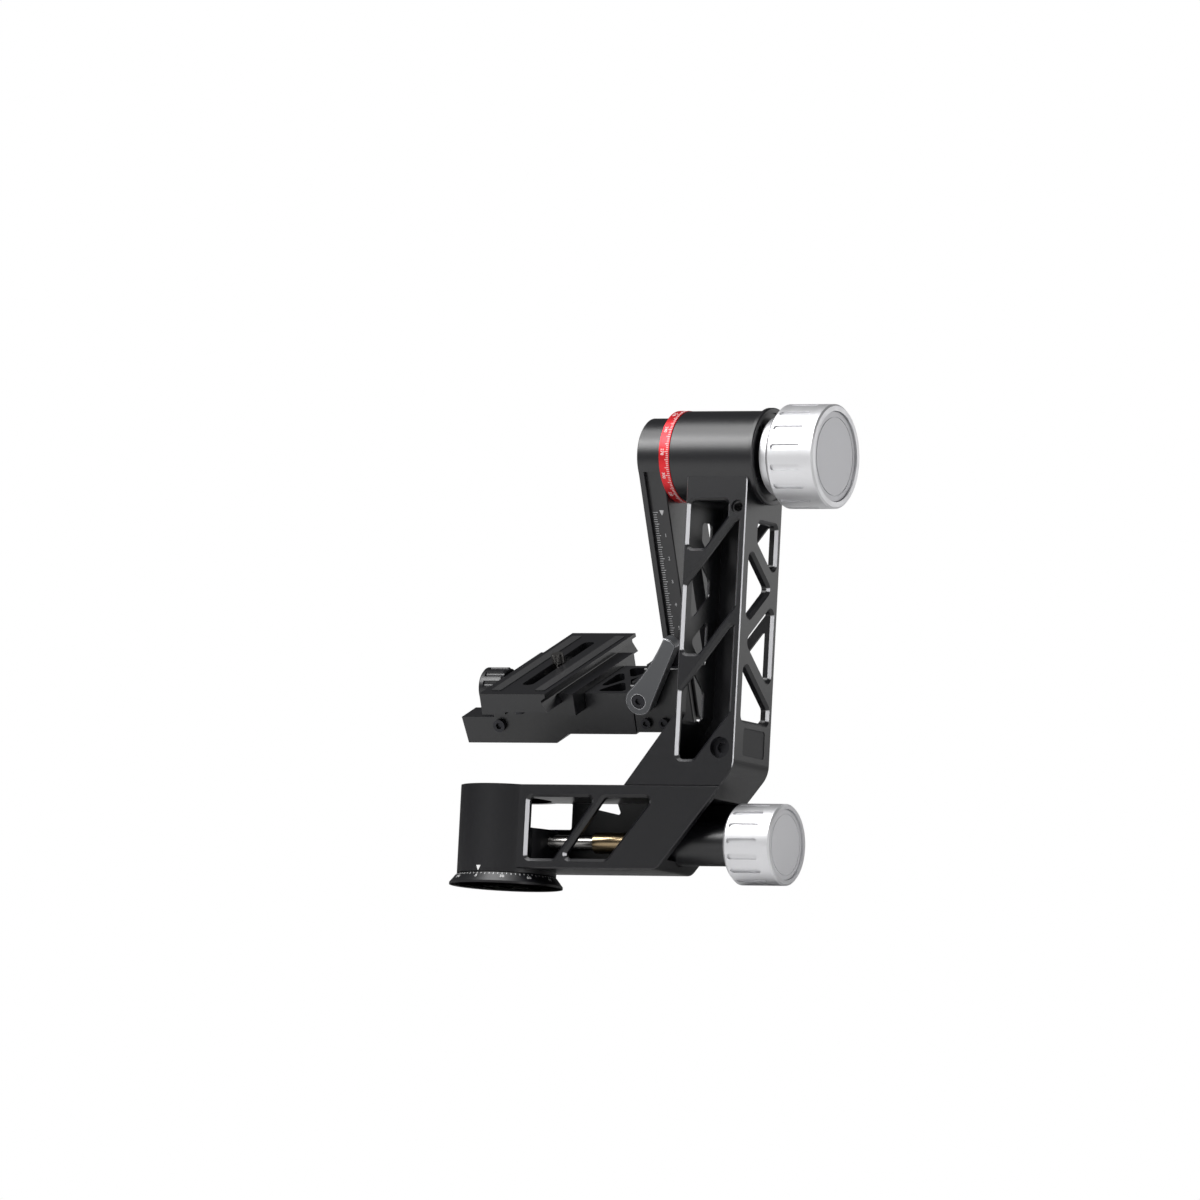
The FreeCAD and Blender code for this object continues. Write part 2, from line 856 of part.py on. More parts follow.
def seam_bolt_places():
    rows = (-seam_bolt_half_row, seam_bolt_half_row)
    return [(seam_bolt_first + i * seam_bolt_spacing, y) for i in range(2) for y in rows]


def upright():
    """The whole upright, from its foot to the tilt housing."""
    rounds = [0.0, 0.0, foot_round, 0.0, 0.0, 0.0]
    body = prism(upright_outline(), -arm_half_depth, arm_half_depth, radius=rounds)
    body = eased(body, "Y", (-arm_half_depth, arm_half_depth), edge)
    barrel = disc(housing_start, housing_end, housing_radius, "x", (0.0, tilt_height))
    body = joined([body, barrel])
    body = body.cut(upright_cavity())
    walls = [
        (upright_windows(), -arm_half_depth, -1, upright_wall, "y"),
        (upright_windows(back_window_left), arm_half_depth, 1, upright_wall, "y"),
        (side_windows(inner_side_window_far), upright_left, -1, upright_inner_wall, "x"),
        (side_windows(side_window_far), upright_right, 1, upright_outer_wall, "x"),
    ]
    for windows, face, way, wall, axis in walls:
        body = body.cut(wall_cutters(windows, face, way, wall + 1, axis, window_corner, window_flare))
    return bored(body)


def upright_length(low, high):
    """One length of the upright, between two levels."""
    reach = housing_radius + 1
    return upright().common(block(foot_left - 1, housing_end + 1, -reach, reach, low, high))


def bored(body):
    """Bores the housing and drills the arm's bolt, accessory and label recesses."""
    at = (0.0, tilt_height)
    seat = tilt_race_inset + tilt_race_width
    last = housing_end - end_cap_spigot - tilt_race_width
    cuts = [
        disc(housing_start - 1, housing_end + 1, tilt_race_outer - hub_land, "x", at),
        disc(housing_start - 1, housing_start + seat, tilt_race_outer, "x", at),
        disc(last, housing_end + 1, tilt_race_outer, "x", at),
    ]
    for x, y in seam_bolt_places():
        floor = arm_top + foot_wall
        cuts.append(disc(arm_top - 1, floor + 1, seam_bolt_radius, "z", (x, y)))
        seat = floor - seam_bolt_head_height
        cuts.append(disc(seat, floor + 1, seam_bolt_head_radius + thread_gap, "z", (x, y)))
    hole = (upright_right - accessory_inset, accessory_height)
    start = -arm_half_depth - 1
    cuts.append(disc(start, upright_wall + 1 - arm_half_depth, accessory_radius, "y", hole))
    cuts.append(disc(start, accessory_sink - arm_half_depth, accessory_sink_radius, "y", hole))
    for face in (-1, 1):
        outer = face * (arm_half_depth + 1)
        bolt = (upright_right - side_bolt_inset, side_bolt_height)
        sink = face * (arm_half_depth - bolt_sink_depth)
        deep = face * (arm_half_depth - bolt_sink_depth - side_bolt_length)
        cuts.append(disc(min(outer, sink), max(outer, sink), bolt_sink_radius, "y", bolt))
        cuts.append(disc(min(outer, deep), max(outer, deep), side_bolt_radius, "y", bolt))
    cuts.append(label_outline(upright_right - label_depth, upright_right + 1, 0.0))
    for y, z in around(end_screw_count, end_screw_circle, screw_turn):
        place = (y, tilt_height + z)
        cuts.append(disc(housing_end - end_cap_spigot, housing_end + 1, end_screw_radius, "x", place))
    return body.cut(cuts)


def label_outline(start, end, gap):
    """The bare plate's rounded rectangle on the outer side, drawn in by a gap."""
    near, far = label_offset - label_width / 2 + gap, label_offset + label_width / 2 - gap
    low, high = label_middle - label_height / 2 + gap, label_middle + label_height / 2 - gap
    return prism([(near, low), (far, low), (far, high), (near, high)], start, end, "x", label_corner)


def label_plate():
    start = upright_right - label_depth
    return label_outline(start, start + label_thickness, label_gap)


def seam_bolts():
    seat = arm_top + foot_wall - seam_bolt_head_height
    length = seat - (arm_top - arm_upper_wall)
    made = []
    for x, y in seam_bolt_places():
        bolt = cap_screw(seam_bolt_radius, length, seam_bolt_head_radius, seam_bolt_head_height)
        made.append(placed(bolt, Vector(x, y, seat), Vector(0, 0, 1)))
    return group(made)


def side_bolts():
    made = []
    for face in (-1, 1):
        head = bolt_sink_radius - 2 * thread_gap
        bolt = cap_screw(side_bolt_radius, side_bolt_length, head, side_bolt_head_height)
        y = face * (arm_half_depth - bolt_sink_depth)
        seat = Vector(upright_right - side_bolt_inset, y, side_bolt_height)
        made.append(placed(bolt, seat, Vector(0, face, 0)))
    return group(made)


# Tilt housing fittings
def tilt_bearings():
    """Inner races, outer races and balls of the two tilt bearings."""
    inner, outer, balls = [], [], []
    at = (0.0, tilt_height)
    first = housing_start + tilt_race_inset
    second = housing_end - end_cap_spigot - tilt_race_width
    for start in (first, second):
        a, b = race_pair(start, tilt_race_width, axle_radius, tilt_race_outer, "x", at)
        inner.append(a)
        outer.append(b)
        count = tilt_ball_count
        balls += ball_circle(start, tilt_race_width, axle_radius, tilt_race_outer, count, "x", at)
    return group(inner), group(outer), group(balls)


def end_cap():
    at = (0.0, tilt_height)
    flange = disc(housing_end, housing_end + end_cap_rim, end_cap_radius, "x", at)
    spigot = disc(housing_end - end_cap_spigot, housing_end, tilt_race_outer, "x", at)
    body = joined([flange, spigot])
    body = eased(body, "X", (housing_end + end_cap_rim,), edge)
    start = housing_end - end_cap_spigot - 1
    body = body.cut(disc(start, housing_end + end_cap_rim + 1, end_cap_bore, "x", at))
    recess = housing_end + end_cap_rim - end_cap_recess
    body = body.cut(disc(recess, housing_end + end_cap_rim + 1, end_cap_recess_radius, "x", at))
    for y, z in around(end_screw_count, end_screw_circle, screw_turn):
        place = (y, tilt_height + z)
        body = body.cut(disc(housing_end - 1, housing_end + end_cap_rim + 1, end_screw_radius, "x", place))
    return body


def end_cap_screws():
    made = []
    seat = housing_end + end_cap_rim - end_cap_recess
    for y, z in around(end_screw_count, end_screw_circle, screw_turn):
        screw = cap_screw(end_screw_radius, end_cap_spigot, end_screw_head_radius, end_screw_head_height)
        made.append(placed(screw, Vector(seat, y, tilt_height + z), Vector(1, 0, 0)))
    return group(made)


# Knobs
def knob(start, length, radius, flute_width, turn, bore, height):
    """A silver knob along X: fluted side, chamfered ends, sunk face, hollow front and a bored hub."""
    at = (0.0, height)
    body = disc(start, start + length, radius, "x", at)
    body = body.makeChamfer(knob_back_chamfer, outer_edges(body, "X", start))
    body = body.makeChamfer(knob_front_chamfer, outer_edges(body, "X", start + length))
    face = start + length - knob_face_sink - knob_cap_thickness
    body = body.cut(disc(face, start + length + 1, radius * knob_face_share, "x", at))
    body = body.cut(disc(start + knob_hollow_floor, face + 1, radius - knob_hollow_wall, "x", at))
    body = body.cut(disc(start - 1, start + length, bore, "x", at))
    half = flute_width / 2
    first = start + flute_start + half
    last = first + flute_length - flute_width
    for i in range(flute_count):
        slot = joined([
            block(first, last, -half, half, radius - flute_depth, radius + 1),
            disc(radius - flute_depth, radius + 1, half, "z", (first, 0.0)),
            disc(radius - flute_depth, radius + 1, half, "z", (last, 0.0)),
        ])
        slot.rotate(Vector(0, 0, 0), Vector(1, 0, 0), turn + 360.0 * i / flute_count)
        slot.translate(Vector(0, 0, height))
        body = body.cut(slot)
    return body


def knob_cap(start, length, radius, height):
    """The turned disc in a knob's face, with one fine ring."""
    at = (0.0, height)
    size = radius * knob_face_share - knob_cap_gap
    end = start + length - knob_face_sink
    body = disc(end - knob_cap_thickness, end, size, "x", at)
    body = body.makeChamfer(cap_ring_depth, outer_edges(body, "X", end))
    groove = radius * cap_ring_share
    return body.cut(ring(end - cap_ring_depth, end + 1, groove, groove - cap_ring_width, "x", at))


def tilt_knob():
    start, size = tilt_knob_start, tilt_knob_radius
    width, turn = tilt_flute_width, tilt_flute_turn
    return knob(start, tilt_knob_length, size, width, turn, knob_bush_radius, tilt_height)


def tilt_knob_bush():
    """The threaded steel bush in the tilt knob, which runs on the axle's thread."""
    at = (0.0, tilt_height)
    floor = tilt_knob_start + knob_hollow_floor
    barrel = disc(washer_start + washer_thickness, floor, knob_bush_radius, "x", at)
    head = disc(floor, floor + bush_head_thickness, bush_head_radius, "x", at)
    end = floor + bush_head_thickness + 1
    return joined([barrel, head]).cut(disc(washer_start, end, tilt_spindle_radius + run_gap, "x", at))


def pan_knob():
    start, size = pan_knob_start, pan_knob_radius
    width, turn = pan_flute_width, pan_flute_turn
    return knob(start, pan_knob_length, size, width, turn, spindle_radius, lock_height)


# Drag collar
def drag_collar():
    at = (0.0, tilt_height)
    body = disc(collar_start, collar_start + collar_thickness, collar_radius, "x", at)
    body = eased(body, "X", (collar_start, collar_start + collar_thickness), edge)
    end = collar_start + collar_thickness
    return body.cut(disc(collar_start - 1, end + 1, tilt_spindle_radius + run_gap, "x", at))


def thrust_washer():
    at = (0.0, tilt_height)
    end = washer_start + washer_thickness
    return ring(washer_start, end, washer_radius, tilt_spindle_radius + run_gap, "x", at)


# Swing arm and what turns with it
def swing_arm():
    left, right = swing_left, swing_right
    head = disc(left, right, swing_head_radius, "x")
    half = swing_half_width
    foot = [(-half, 0.0), (-half, -swing_length), (half, -swing_length), (half, 0.0)]
    rounds = [0.0, swing_foot_corner, swing_foot_corner, 0.0]
    body = joined([prism(foot, left, right, "x", rounds), head])
    body = eased(body, "X", (left, right), edge)
    low, high = channel_end_gap - swing_length, -channel_top
    for way in (-1, 1):
        near, far = sorted((way * channel_floor, way * (half + 1)))
        first = channel_middle - channel_width / 2
        body = body.cut(block(first, first + channel_width, near, far, low, high))
    low, high = slot_margin - swing_length, -slot_top
    half = slot_half_width
    slot = [(-half, low), (half, low), (half, high), (-half, high)]
    body = body.cut(prism(slot, left - 1, right + 1, "x", half))
    return tilted(head_drilled(body))


def head_drilled(body):
    """Sinks the head for its cover and axle bolts."""
    cuts = [disc(swing_left - 1, swing_left + head_cover_thickness, head_cover_radius + thread_gap, "x")]
    bolt_seat = swing_left + head_cover_thickness + axle_bolt_head_height
    for y, z in around(axle_bolt_count, axle_bolt_circle, screw_turn):
        cuts.append(disc(swing_left - 1, swing_right + 1, axle_bolt_radius, "x", (y, z)))
        cuts.append(disc(swing_left - 1, bolt_seat, axle_bolt_head_radius + thread_gap, "x", (y, z)))
    return body.cut(cuts)


def head_cover():
    body = disc(swing_left, swing_left + head_cover_thickness, head_cover_radius, "x")
    return tilted(eased(body, "X", (swing_left,), edge))


def axle_bolts():
    made = []
    seat = swing_left + head_cover_thickness + axle_bolt_head_height
    for y, z in around(axle_bolt_count, axle_bolt_circle, screw_turn):
        bolt = cap_screw(axle_bolt_radius, axle_bolt_length, axle_bolt_head_radius, axle_bolt_head_height)
        made.append(placed(bolt, Vector(seat, y, z), Vector(-1, 0, 0)))
    return tilted(group(made))


def tilt_scale_ring():
    """The red ring with the tilt scale, fixed between the swing arm and the housing."""
    end = housing_start - scale_ring_gap
    body = disc(swing_right, end, scale_ring_radius, "x")
    body = eased(body, "X", (swing_right, end), edge / 2)
    return tilted(body.cut(disc(swing_right - 1, end + 1, axle_shoulder_radius, "x")))


def tilt_axle():
    """The stepped axle: bearing seats in the housing, then the thread that carries the knob."""
    first = housing_start + tilt_race_inset
    second = housing_end - end_cap_spigot
    body = joined([
        disc(swing_right, second, axle_radius, "x"),
        disc(second, tilt_knob_start + knob_hollow_floor + bush_head_thickness, tilt_spindle_radius, "x"),
        disc(swing_right, first, axle_shoulder_radius, "x"),
    ])
    tip = swing_left + head_cover_thickness + axle_bolt_head_height + axle_bolt_length
    for y, z in around(axle_bolt_count, axle_bolt_circle, screw_turn):
        body = body.cut(disc(swing_right - 1, tip, axle_bolt_radius, "x", (y, z)))
    return tilted(body)


# Carriage
def carriage():
    half = carriage_half_width
    low, high = -carriage_low, clamp_floor
    beam = block(clamp_left, slider_end, -half, half, low, high)
    shoulder = block(clamp_right + side_gap, slider_end, -half, half, low, high + beam_shoulder)
    slider = block(carriage_inner, slider_end, -half, half, low, slider_top)
    riser = block(cheek_start, slider_end, -half, half, low, cheek_top)
    foot = [
        (pad_left, low - pad_drop), (pad_right, low - pad_drop), (pad_right + pad_slant, low + edge),
        (pad_right, high), (clamp_left, high), (clamp_left, -pad_shelf), (pad_left - pad_lean, -pad_shelf),
    ]
    body = joined([beam, shoulder, slider, riser, prism(foot, -half, half), far_cheek()])
    body = body.cut(carriage_pockets())
    body = body.cut(jaw_room())
    holes = [
        disc(-half - 1, lever_far + lever_stud_length, lever_stud_radius, "y", lever_place),
        disc(-half - 1, side_screw_length - half, side_screw_radius, "y", side_screw_place),
        clamp_knob_room(),
    ]
    for x, z in guide_screw_places():
        holes.append(disc(-half - 1, guide_screw_length - half, guide_screw_radius, "y", (x, z)))
    return tilted(body.cut(holes + carriage_bores()))


def clamp_knob_room():
    """The hollow in the pad that the clamp's knob turns in."""
    middle = (clamp_floor + clamp_top) / 2
    return disc(pad_left - pad_lean - 1, clamp_left, clamp_knob_radius + side_gap, "x", (0.0, middle))


def far_cheek():
    """The fixed cheek that reaches round the swing arm's far edge into its channel."""
    near = swing_half_width + slider_gap
    plate = block(slider_end - 1, cheek_end, near, carriage_half_width, -carriage_low, cheek_top)
    floor = channel_floor + slider_gap
    return joined([plate, block(lip_left, lip_right, floor, carriage_half_width, lip_low, cheek_top)])


def jaw_room():
    """The step in the slider's near side that the moving jaw fills."""
    back = -jaw_back + jaw_travel
    low = -carriage_low - 1
    return block(carriage_inner, slider_end + 1, -carriage_half_width - 1, back, low, cheek_top + 1)


def guide_screw_places():
    return [(guide_screw_first + i * guide_screw_spacing, -guide_screw_drop) for i in range(2)]


def slider_jaw():
    """The moving cheek on the near side, which the lever presses into the swing arm's channel."""
    low, high = jaw_end_gap - carriage_low, cheek_top - jaw_end_gap
    step = slider_top - jaw_end_gap
    start = carriage_inner + side_gap
    face = [(start, low), (cheek_end, low), (cheek_end, high)]
    face += [(cheek_start, high), (cheek_start, step), (start, step)]
    plate = prism(face, -carriage_half_width, -jaw_back)
    lip = block(lip_left, lip_right, -carriage_half_width, -channel_floor - jaw_travel, lip_low, high)
    body = eased(joined([plate, lip]), "Y", (-carriage_half_width,), edge)
    near, far = -carriage_half_width - 1, 0.0
    body = body.cut(disc(near, far, lever_stud_radius + run_gap, "y", lever_place))
    for place in guide_screw_places():
        body = body.cut(disc(near, far, guide_screw_radius + run_gap, "y", place))
    return tilted(body)


def guide_screws():
    """The two screws that the jaw slides on, held in the carriage."""
    made = []
    for x, z in guide_screw_places():
        length = guide_screw_length + side_gap
        screw = cap_screw(guide_screw_radius, length, guide_screw_head_radius, guide_screw_head_height)
        made.append(placed(screw, Vector(x, -carriage_half_width - side_gap, z), Vector(0, -1, 0)))
    return tilted(group(made))


def carriage_pockets():
    """Triangular pockets milled in the beam's top, with slanted ribs left between them."""
    half = carriage_half_width - pocket_wall
    left, right = clamp_right + side_gap + pocket_rib, carriage_inner - pocket_rib
    low = pocket_floor - carriage_low
    panel = [(left, -half), (right, -half), (right, half), (left, half)]
    one, two, three, four = panel[0], panel[2], panel[3], panel[1]
    rib = pocket_rib / 2
    outlines = [
        clip(clip(panel, one, two, rib), three, four, rib),
        clip(clip(panel, one, two, rib), four, three, rib),
        clip(clip(panel, two, one, rib), three, four, rib),
        clip(clip(panel, two, one, rib), four, three, rib),
    ]
    return [prism(outline, low, slider_top, "z", arm_corner) for outline in outlines]


def carriage_bores():
    """Holes for the clamp's bolts, drilled down into the beam."""
    cuts = []
    for x, y in clamp_bolt_places():
        deep = clamp_floor + clamp_base_height - clamp_bolt_head_height - clamp_bolt_length
        cuts.append(disc(deep, clamp_floor + 1, clamp_bolt_radius, "z", (x, y)))
    return cuts


def clamp_bolt_places():
    xs = (clamp_bolt_middle - clamp_bolt_spacing_x / 2, clamp_bolt_middle + clamp_bolt_spacing_x / 2)
    ys = (-clamp_bolt_spacing_y / 2, clamp_bolt_spacing_y / 2)
    return [(x, y) for x in xs for y in ys]


def side_screw():
    at = Vector(side_screw_at, -carriage_half_width, -side_screw_drop)
    screw = cap_screw(side_screw_radius, side_screw_length, side_screw_head_radius, side_screw_head_height)
    return tilted(placed(screw, at, Vector(0, -1, 0)))


# Lever
def height_lever():
    """The grey lever: a round hub whose blade narrows along one straight and one hollow side."""
    near, far = lever_near, lever_far
    angle = math.radians(lever_slope)
    along = Vector(math.cos(angle), 0, math.sin(angle))
    across = Vector(-math.sin(angle), 0, math.cos(angle))
    pivot = Vector(lever_pivot_x, near, -lever_pivot_drop)

    def at(reach, off):
        return pivot + along * reach + across * off

    size, tip = lever_hub_radius, lever_tip_radius
    shoulder = math.radians(lever_shoulder)
    start = at(size * math.cos(shoulder), size * math.sin(shoulder))
    end = at(size * math.cos(shoulder), -size * math.sin(shoulder))
    edges = [
        Part.Arc(start, at(-size, 0), end).toShape(),
        Part.LineSegment(end, at(lever_reach, -tip)).toShape(),
        Part.Arc(at(lever_reach, -tip), at(lever_reach + lever_tip_bulge, 0), at(lever_reach, tip)).toShape(),
        Part.Arc(at(lever_reach, tip), at(lever_reach / 2, lever_waist), start).toShape(),
    ]
    body = Part.Face(Part.Wire(edges)).extrude(Vector(0, far - near, 0))
    body = eased(body, "Y", (near, far), edge)
    body = body.cut(disc(near - 1, near + lever_screw_head_height, lever_bore_radius, "y", lever_place))
    return tilted(body.cut(disc(near - 1, far + 1, lever_stud_radius, "y", lever_place)))


def lever_stud():
    """The lever's threaded stud, with its socket head in the lever's hub."""
    seat = lever_near + lever_screw_head_height
    length = lever_far + lever_stud_length - seat
    stud = cap_screw(lever_stud_radius, length, lever_screw_head_radius, lever_screw_head_height)
    return tilted(placed(stud, Vector(lever_pivot_x, seat, -lever_pivot_drop), Vector(0, -1, 0)))


def lever_spacer():
    """The black collar between the lever and the jaw."""
    end = -carriage_half_width - lever_spacer_gap
    return tilted(ring(lever_far, end, lever_spacer_radius, lever_stud_radius, "y", lever_place))


# Clamp
def clamp_channel():
    """The dovetail channel that the plate slides in, open at the top."""
    top = clamp_top + dovetail_height
    root, mouth = dovetail_root + plate_gap, dovetail_mouth + plate_gap
    outline = [(-root, clamp_top), (root, clamp_top), (mouth, top)]
    outline += [(mouth, top + 1), (-mouth, top + 1), (-mouth, top)]
    return prism(outline, -clamp_half_length - 1, clamp_half_length + 1)


def clamp_blank(left, right, low):
    """A stretch of the clamp's outer block."""
    return block(left, right, -clamp_half_length, clamp_half_length, low, clamp_top + dovetail_height)


def clamp_body():
    body = clamp_blank(clamp_split, clamp_right, clamp_floor)
    body = body.cut(clamp_channel())
    cuts = []
    seat = clamp_top - clamp_bolt_head_height
    for x, y in clamp_bolt_places():
        cuts.append(disc(clamp_floor - 1, clamp_top + 1, clamp_bolt_radius, "z", (x, y)))
        cuts.append(disc(seat, clamp_top + 1, clamp_bolt_head_radius + thread_gap, "z", (x, y)))
    middle = (clamp_floor + clamp_top) / 2
    cuts.append(disc(clamp_split - 1, clamp_right + 1, clamp_spindle_radius + run_gap, "x", (0.0, middle)))
    for side in (-1, 1):
        y = side * clamp_pin_spacing / 2
        cuts.append(disc(clamp_split - 1, clamp_right - clamp_pin_inset, clamp_pin_radius, "x", (y, middle)))
    return tilted(body.cut(cuts))


def clamp_jaw():
    left, right = clamp_left, clamp_split - clamp_jaw_gap
    body = clamp_blank(left, right, clamp_floor + plate_gap)
    body = body.cut(clamp_channel())
    middle = (clamp_floor + clamp_top) / 2
    cuts = [disc(left - 1, right + 1, clamp_spindle_radius + run_gap, "x", (0.0, middle))]
    for side in (-1, 1):
        y = side * clamp_pin_spacing / 2
        cuts.append(disc(left - 1, right + 1, clamp_pin_radius + run_gap, "x", (y, middle)))
    return tilted(body.cut(cuts))


def clamp_pins():
    middle = (clamp_floor + clamp_top) / 2
    made = []
    for side in (-1, 1):
        y = side * clamp_pin_spacing / 2
        end = clamp_right - clamp_pin_inset
        made.append(disc(clamp_left + edge, end, clamp_pin_radius, "x", (y, middle)))
    return tilted(group(made))


def clamp_bolts():
    made = []
    seat = clamp_top - clamp_bolt_head_height
    for x, y in clamp_bolt_places():
        bolt = cap_screw(clamp_bolt_radius, clamp_bolt_length, clamp_bolt_head_radius, clamp_bolt_head_height)
        made.append(placed(bolt, Vector(x, y, seat), Vector(0, 0, 1)))
    return tilted(group(made))


def clamp_knob():
    """The fluted knob on the clamp's inner side."""
    middle = (clamp_floor + clamp_top) / 2
    end = clamp_left - clamp_knob_gap
    start = end - clamp_knob_length
    at = (0.0, middle)
    body = disc(start, end, clamp_knob_radius, "x", at)
    body = eased(body, "X", (start, end), 2 * edge)
    for y, z in around(clamp_knob_flutes, clamp_knob_radius + clamp_knob_flute_radius / 2):
        place = (y, middle + z)
        body = body.cut(disc(start + clamp_knob_face, end + 1, clamp_knob_flute_radius, "x", place))
    return tilted(body.cut(disc(start + clamp_knob_face, end + 1, clamp_spindle_radius, "x", at)))


def clamp_spindle():
    middle = (clamp_floor + clamp_top) / 2
    start = clamp_left - clamp_knob_gap - clamp_knob_length + clamp_knob_face
    shank = disc(start, clamp_right - edge, clamp_spindle_radius, "x", (0.0, middle))
    return tilted(shank)


# Quick release plate
def qr_plate():
    top = plate_top
    root, mouth = dovetail_root, dovetail_mouth
    neck = plate_low + dovetail_height
    first, last = neck + plate_groove_start, neck + plate_groove_end
    outline = [(-root, plate_low), (root, plate_low), (mouth, neck), (mouth, first), (root, last),
               (root, top), (-root, top), (-root, last), (-mouth, first), (-mouth, neck)]
    body = prism(outline, -plate_half_length, plate_half_length)
    half = plate_slot_width / 2
    reach = plate_half_length - plate_slot_margin
    slot = [(-half, -reach), (half, -reach), (half, reach), (-half, reach)]
    body = body.cut(prism(slot, plate_low - 1, top + 1, "z", half))
    wide = plate_slot_sink_width / 2
    far = reach + plate_slot_sink_end
    sink = [(-wide, -far), (wide, -far), (wide, far), (-wide, far)]
    body = body.cut(prism(sink, plate_low - 1, plate_low + plate_slot_sink_depth, "z", wide))
    cuts = plate_strips(0.0)
    for x, y in plate_stop_places():
        cuts.append(disc(plate_low - 1, plate_low + plate_stop_length, plate_stop_radius, "z", (x, y)))
    return tilted(body.cut(cuts))


def plate_strips(gap):
    """The two rubber strips' places in the plate's top."""
    made = []
    for side in (-1, 1):
        middle = side * (plate_half_width - pad_strip_margin)
        half = pad_strip_width / 2 - gap
        reach = plate_half_length - pad_strip_margin - gap
        near, far = middle - half, middle + half
        outline = [(near, -reach), (far, -reach), (far, reach), (near, reach)]
        low = plate_top - pad_strip_sink
        made.append(prism(outline, low, low + pad_strip_thickness, "z", pad_strip_corner))
    return made


def plate_pads():
    return tilted(group(plate_strips(thread_gap)))


def plate_screw():
    """The screw that stands up through the plate, with a slotted head and a plain neck under its thread."""
    seat = plate_low + plate_slot_sink_depth
    thread = plate_top + plate_screw_thread_rise
    body = joined([
        disc(seat - plate_screw_head_height, seat, plate_screw_head_radius, "z"),
        disc(seat, thread, plate_screw_radius - plate_screw_relief, "z"),
        disc(thread, plate_top + plate_screw_proud, plate_screw_radius, "z"),
    ])
    low = seat - plate_screw_head_height
    reach, half = plate_screw_head_radius, plate_screw_slot / 2
    return tilted(body.cut(block(-reach, reach, -half, half, low - 1, low + plate_screw_slot_depth)))


def plate_stop_places():
    y = plate_half_length - plate_stop_inset
    return [(0.0, -y), (0.0, y)]


def plate_stops():
    """The small screws under the plate's ends that stop it sliding out."""
    made = []
    for x, y in plate_stop_places():
        head = plate_stop_head_radius
        screw = cap_screw(plate_stop_radius, plate_stop_length, head, plate_stop_head_height)
        made.append(placed(screw, Vector(x, y, plate_low), Vector(0, 0, -1)))
    return tilted(group(made))


def main():
    os.makedirs("parts", exist_ok=True)
    pan_inner, pan_outer, pan_balls = pan_bearings()
    tilt_inner, tilt_outer, tilt_balls = tilt_bearings()
    nodes = {
        "base_ring": base_ring(),
        "thread_insert": thread_insert(),
        "base_screws": base_screws(),
        "pan_shaft": pan_shaft(),
        "brake_drum": brake_drum(),
        "pan_bearing_inner_races": pan_inner,
        "pan_bearing_outer_races": pan_outer,
        "pan_bearing_balls": pan_balls,
        "pan_arm": pan_arm(),
        "hub_cap": hub_cap(),
        "lock_neck": lock_neck(),
        "lock_guide": lock_guide(),
        "brake_shoe": brake_shoe(),
        "lock_spindle": lock_spindle(),
        "pan_knob": pan_knob(),
        "pan_knob_cap": knob_cap(pan_knob_start, pan_knob_length, pan_knob_radius, lock_height),
        "upright_foot": upright_length(arm_top, foot_top),
        "upright_arm": upright_length(foot_top, tilt_height - housing_radius),
        "tilt_housing": upright_length(tilt_height - housing_radius, tilt_height + housing_radius),
        "label_plate": label_plate(),
        "seam_bolts": seam_bolts(),
        "side_bolts": side_bolts(),
        "tilt_bearing_inner_races": tilt_inner,
        "tilt_bearing_outer_races": tilt_outer,
        "tilt_bearing_balls": tilt_balls,
        "end_cap": end_cap(),
        "end_cap_screws": end_cap_screws(),
        "drag_collar": drag_collar(),
        "thrust_washer": thrust_washer(),
        "tilt_knob": tilt_knob(),
        "tilt_knob_bush": tilt_knob_bush(),
        "tilt_knob_cap": knob_cap(tilt_knob_start, tilt_knob_length, tilt_knob_radius, tilt_height),
        "swing_arm": swing_arm(),
        "head_cover": head_cover(),
        "axle_bolts": axle_bolts(),
        "tilt_scale_ring": tilt_scale_ring(),
        "tilt_axle": tilt_axle(),
        "carriage": carriage(),
        "slider_jaw": slider_jaw(),
        "guide_screws": guide_screws(),
        "side_screw": side_screw(),
        "height_lever": height_lever(),
        "lever_stud": lever_stud(),
        "lever_spacer": lever_spacer(),
        "clamp_body": clamp_body(),
        "clamp_jaw": clamp_jaw(),
        "clamp_pins": clamp_pins(),
        "clamp_bolts": clamp_bolts(),
        "clamp_knob": clamp_knob(),
        "clamp_spindle": clamp_spindle(),
        "qr_plate": qr_plate(),
        "plate_pads": plate_pads(),
        "plate_screw": plate_screw(),
        "plate_stops": plate_stops(),
    }
    for name, shape in nodes.items():
        save(name, shape)
        state = "valid" if shape.isValid() else "NOT VALID"
        print(name, len(shape.Solids), "solids", round(shape.Volume), "mm3", state)


main()
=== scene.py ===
# %% [markdown]
# # Finishes and marks for a gimbal head
#
# The head is a chain of turned and milled aluminium pieces. A round base carries a hub that
# pans, a latticed arm and upright lead to a tilt housing, and a swing arm hangs from it with a
# height carriage and a plate clamp. The solid shapes come ready made, so this lesson gives them
# the surfaces that a workshop would give them, and adds the painted scales.
#
# Lengths are metres. Z is up, X runs along the arm towards the knobs and Y runs away from the
# side with the pan index.

import json
import math

import bpy
import numpy as np
from mathutils import Matrix, Vector


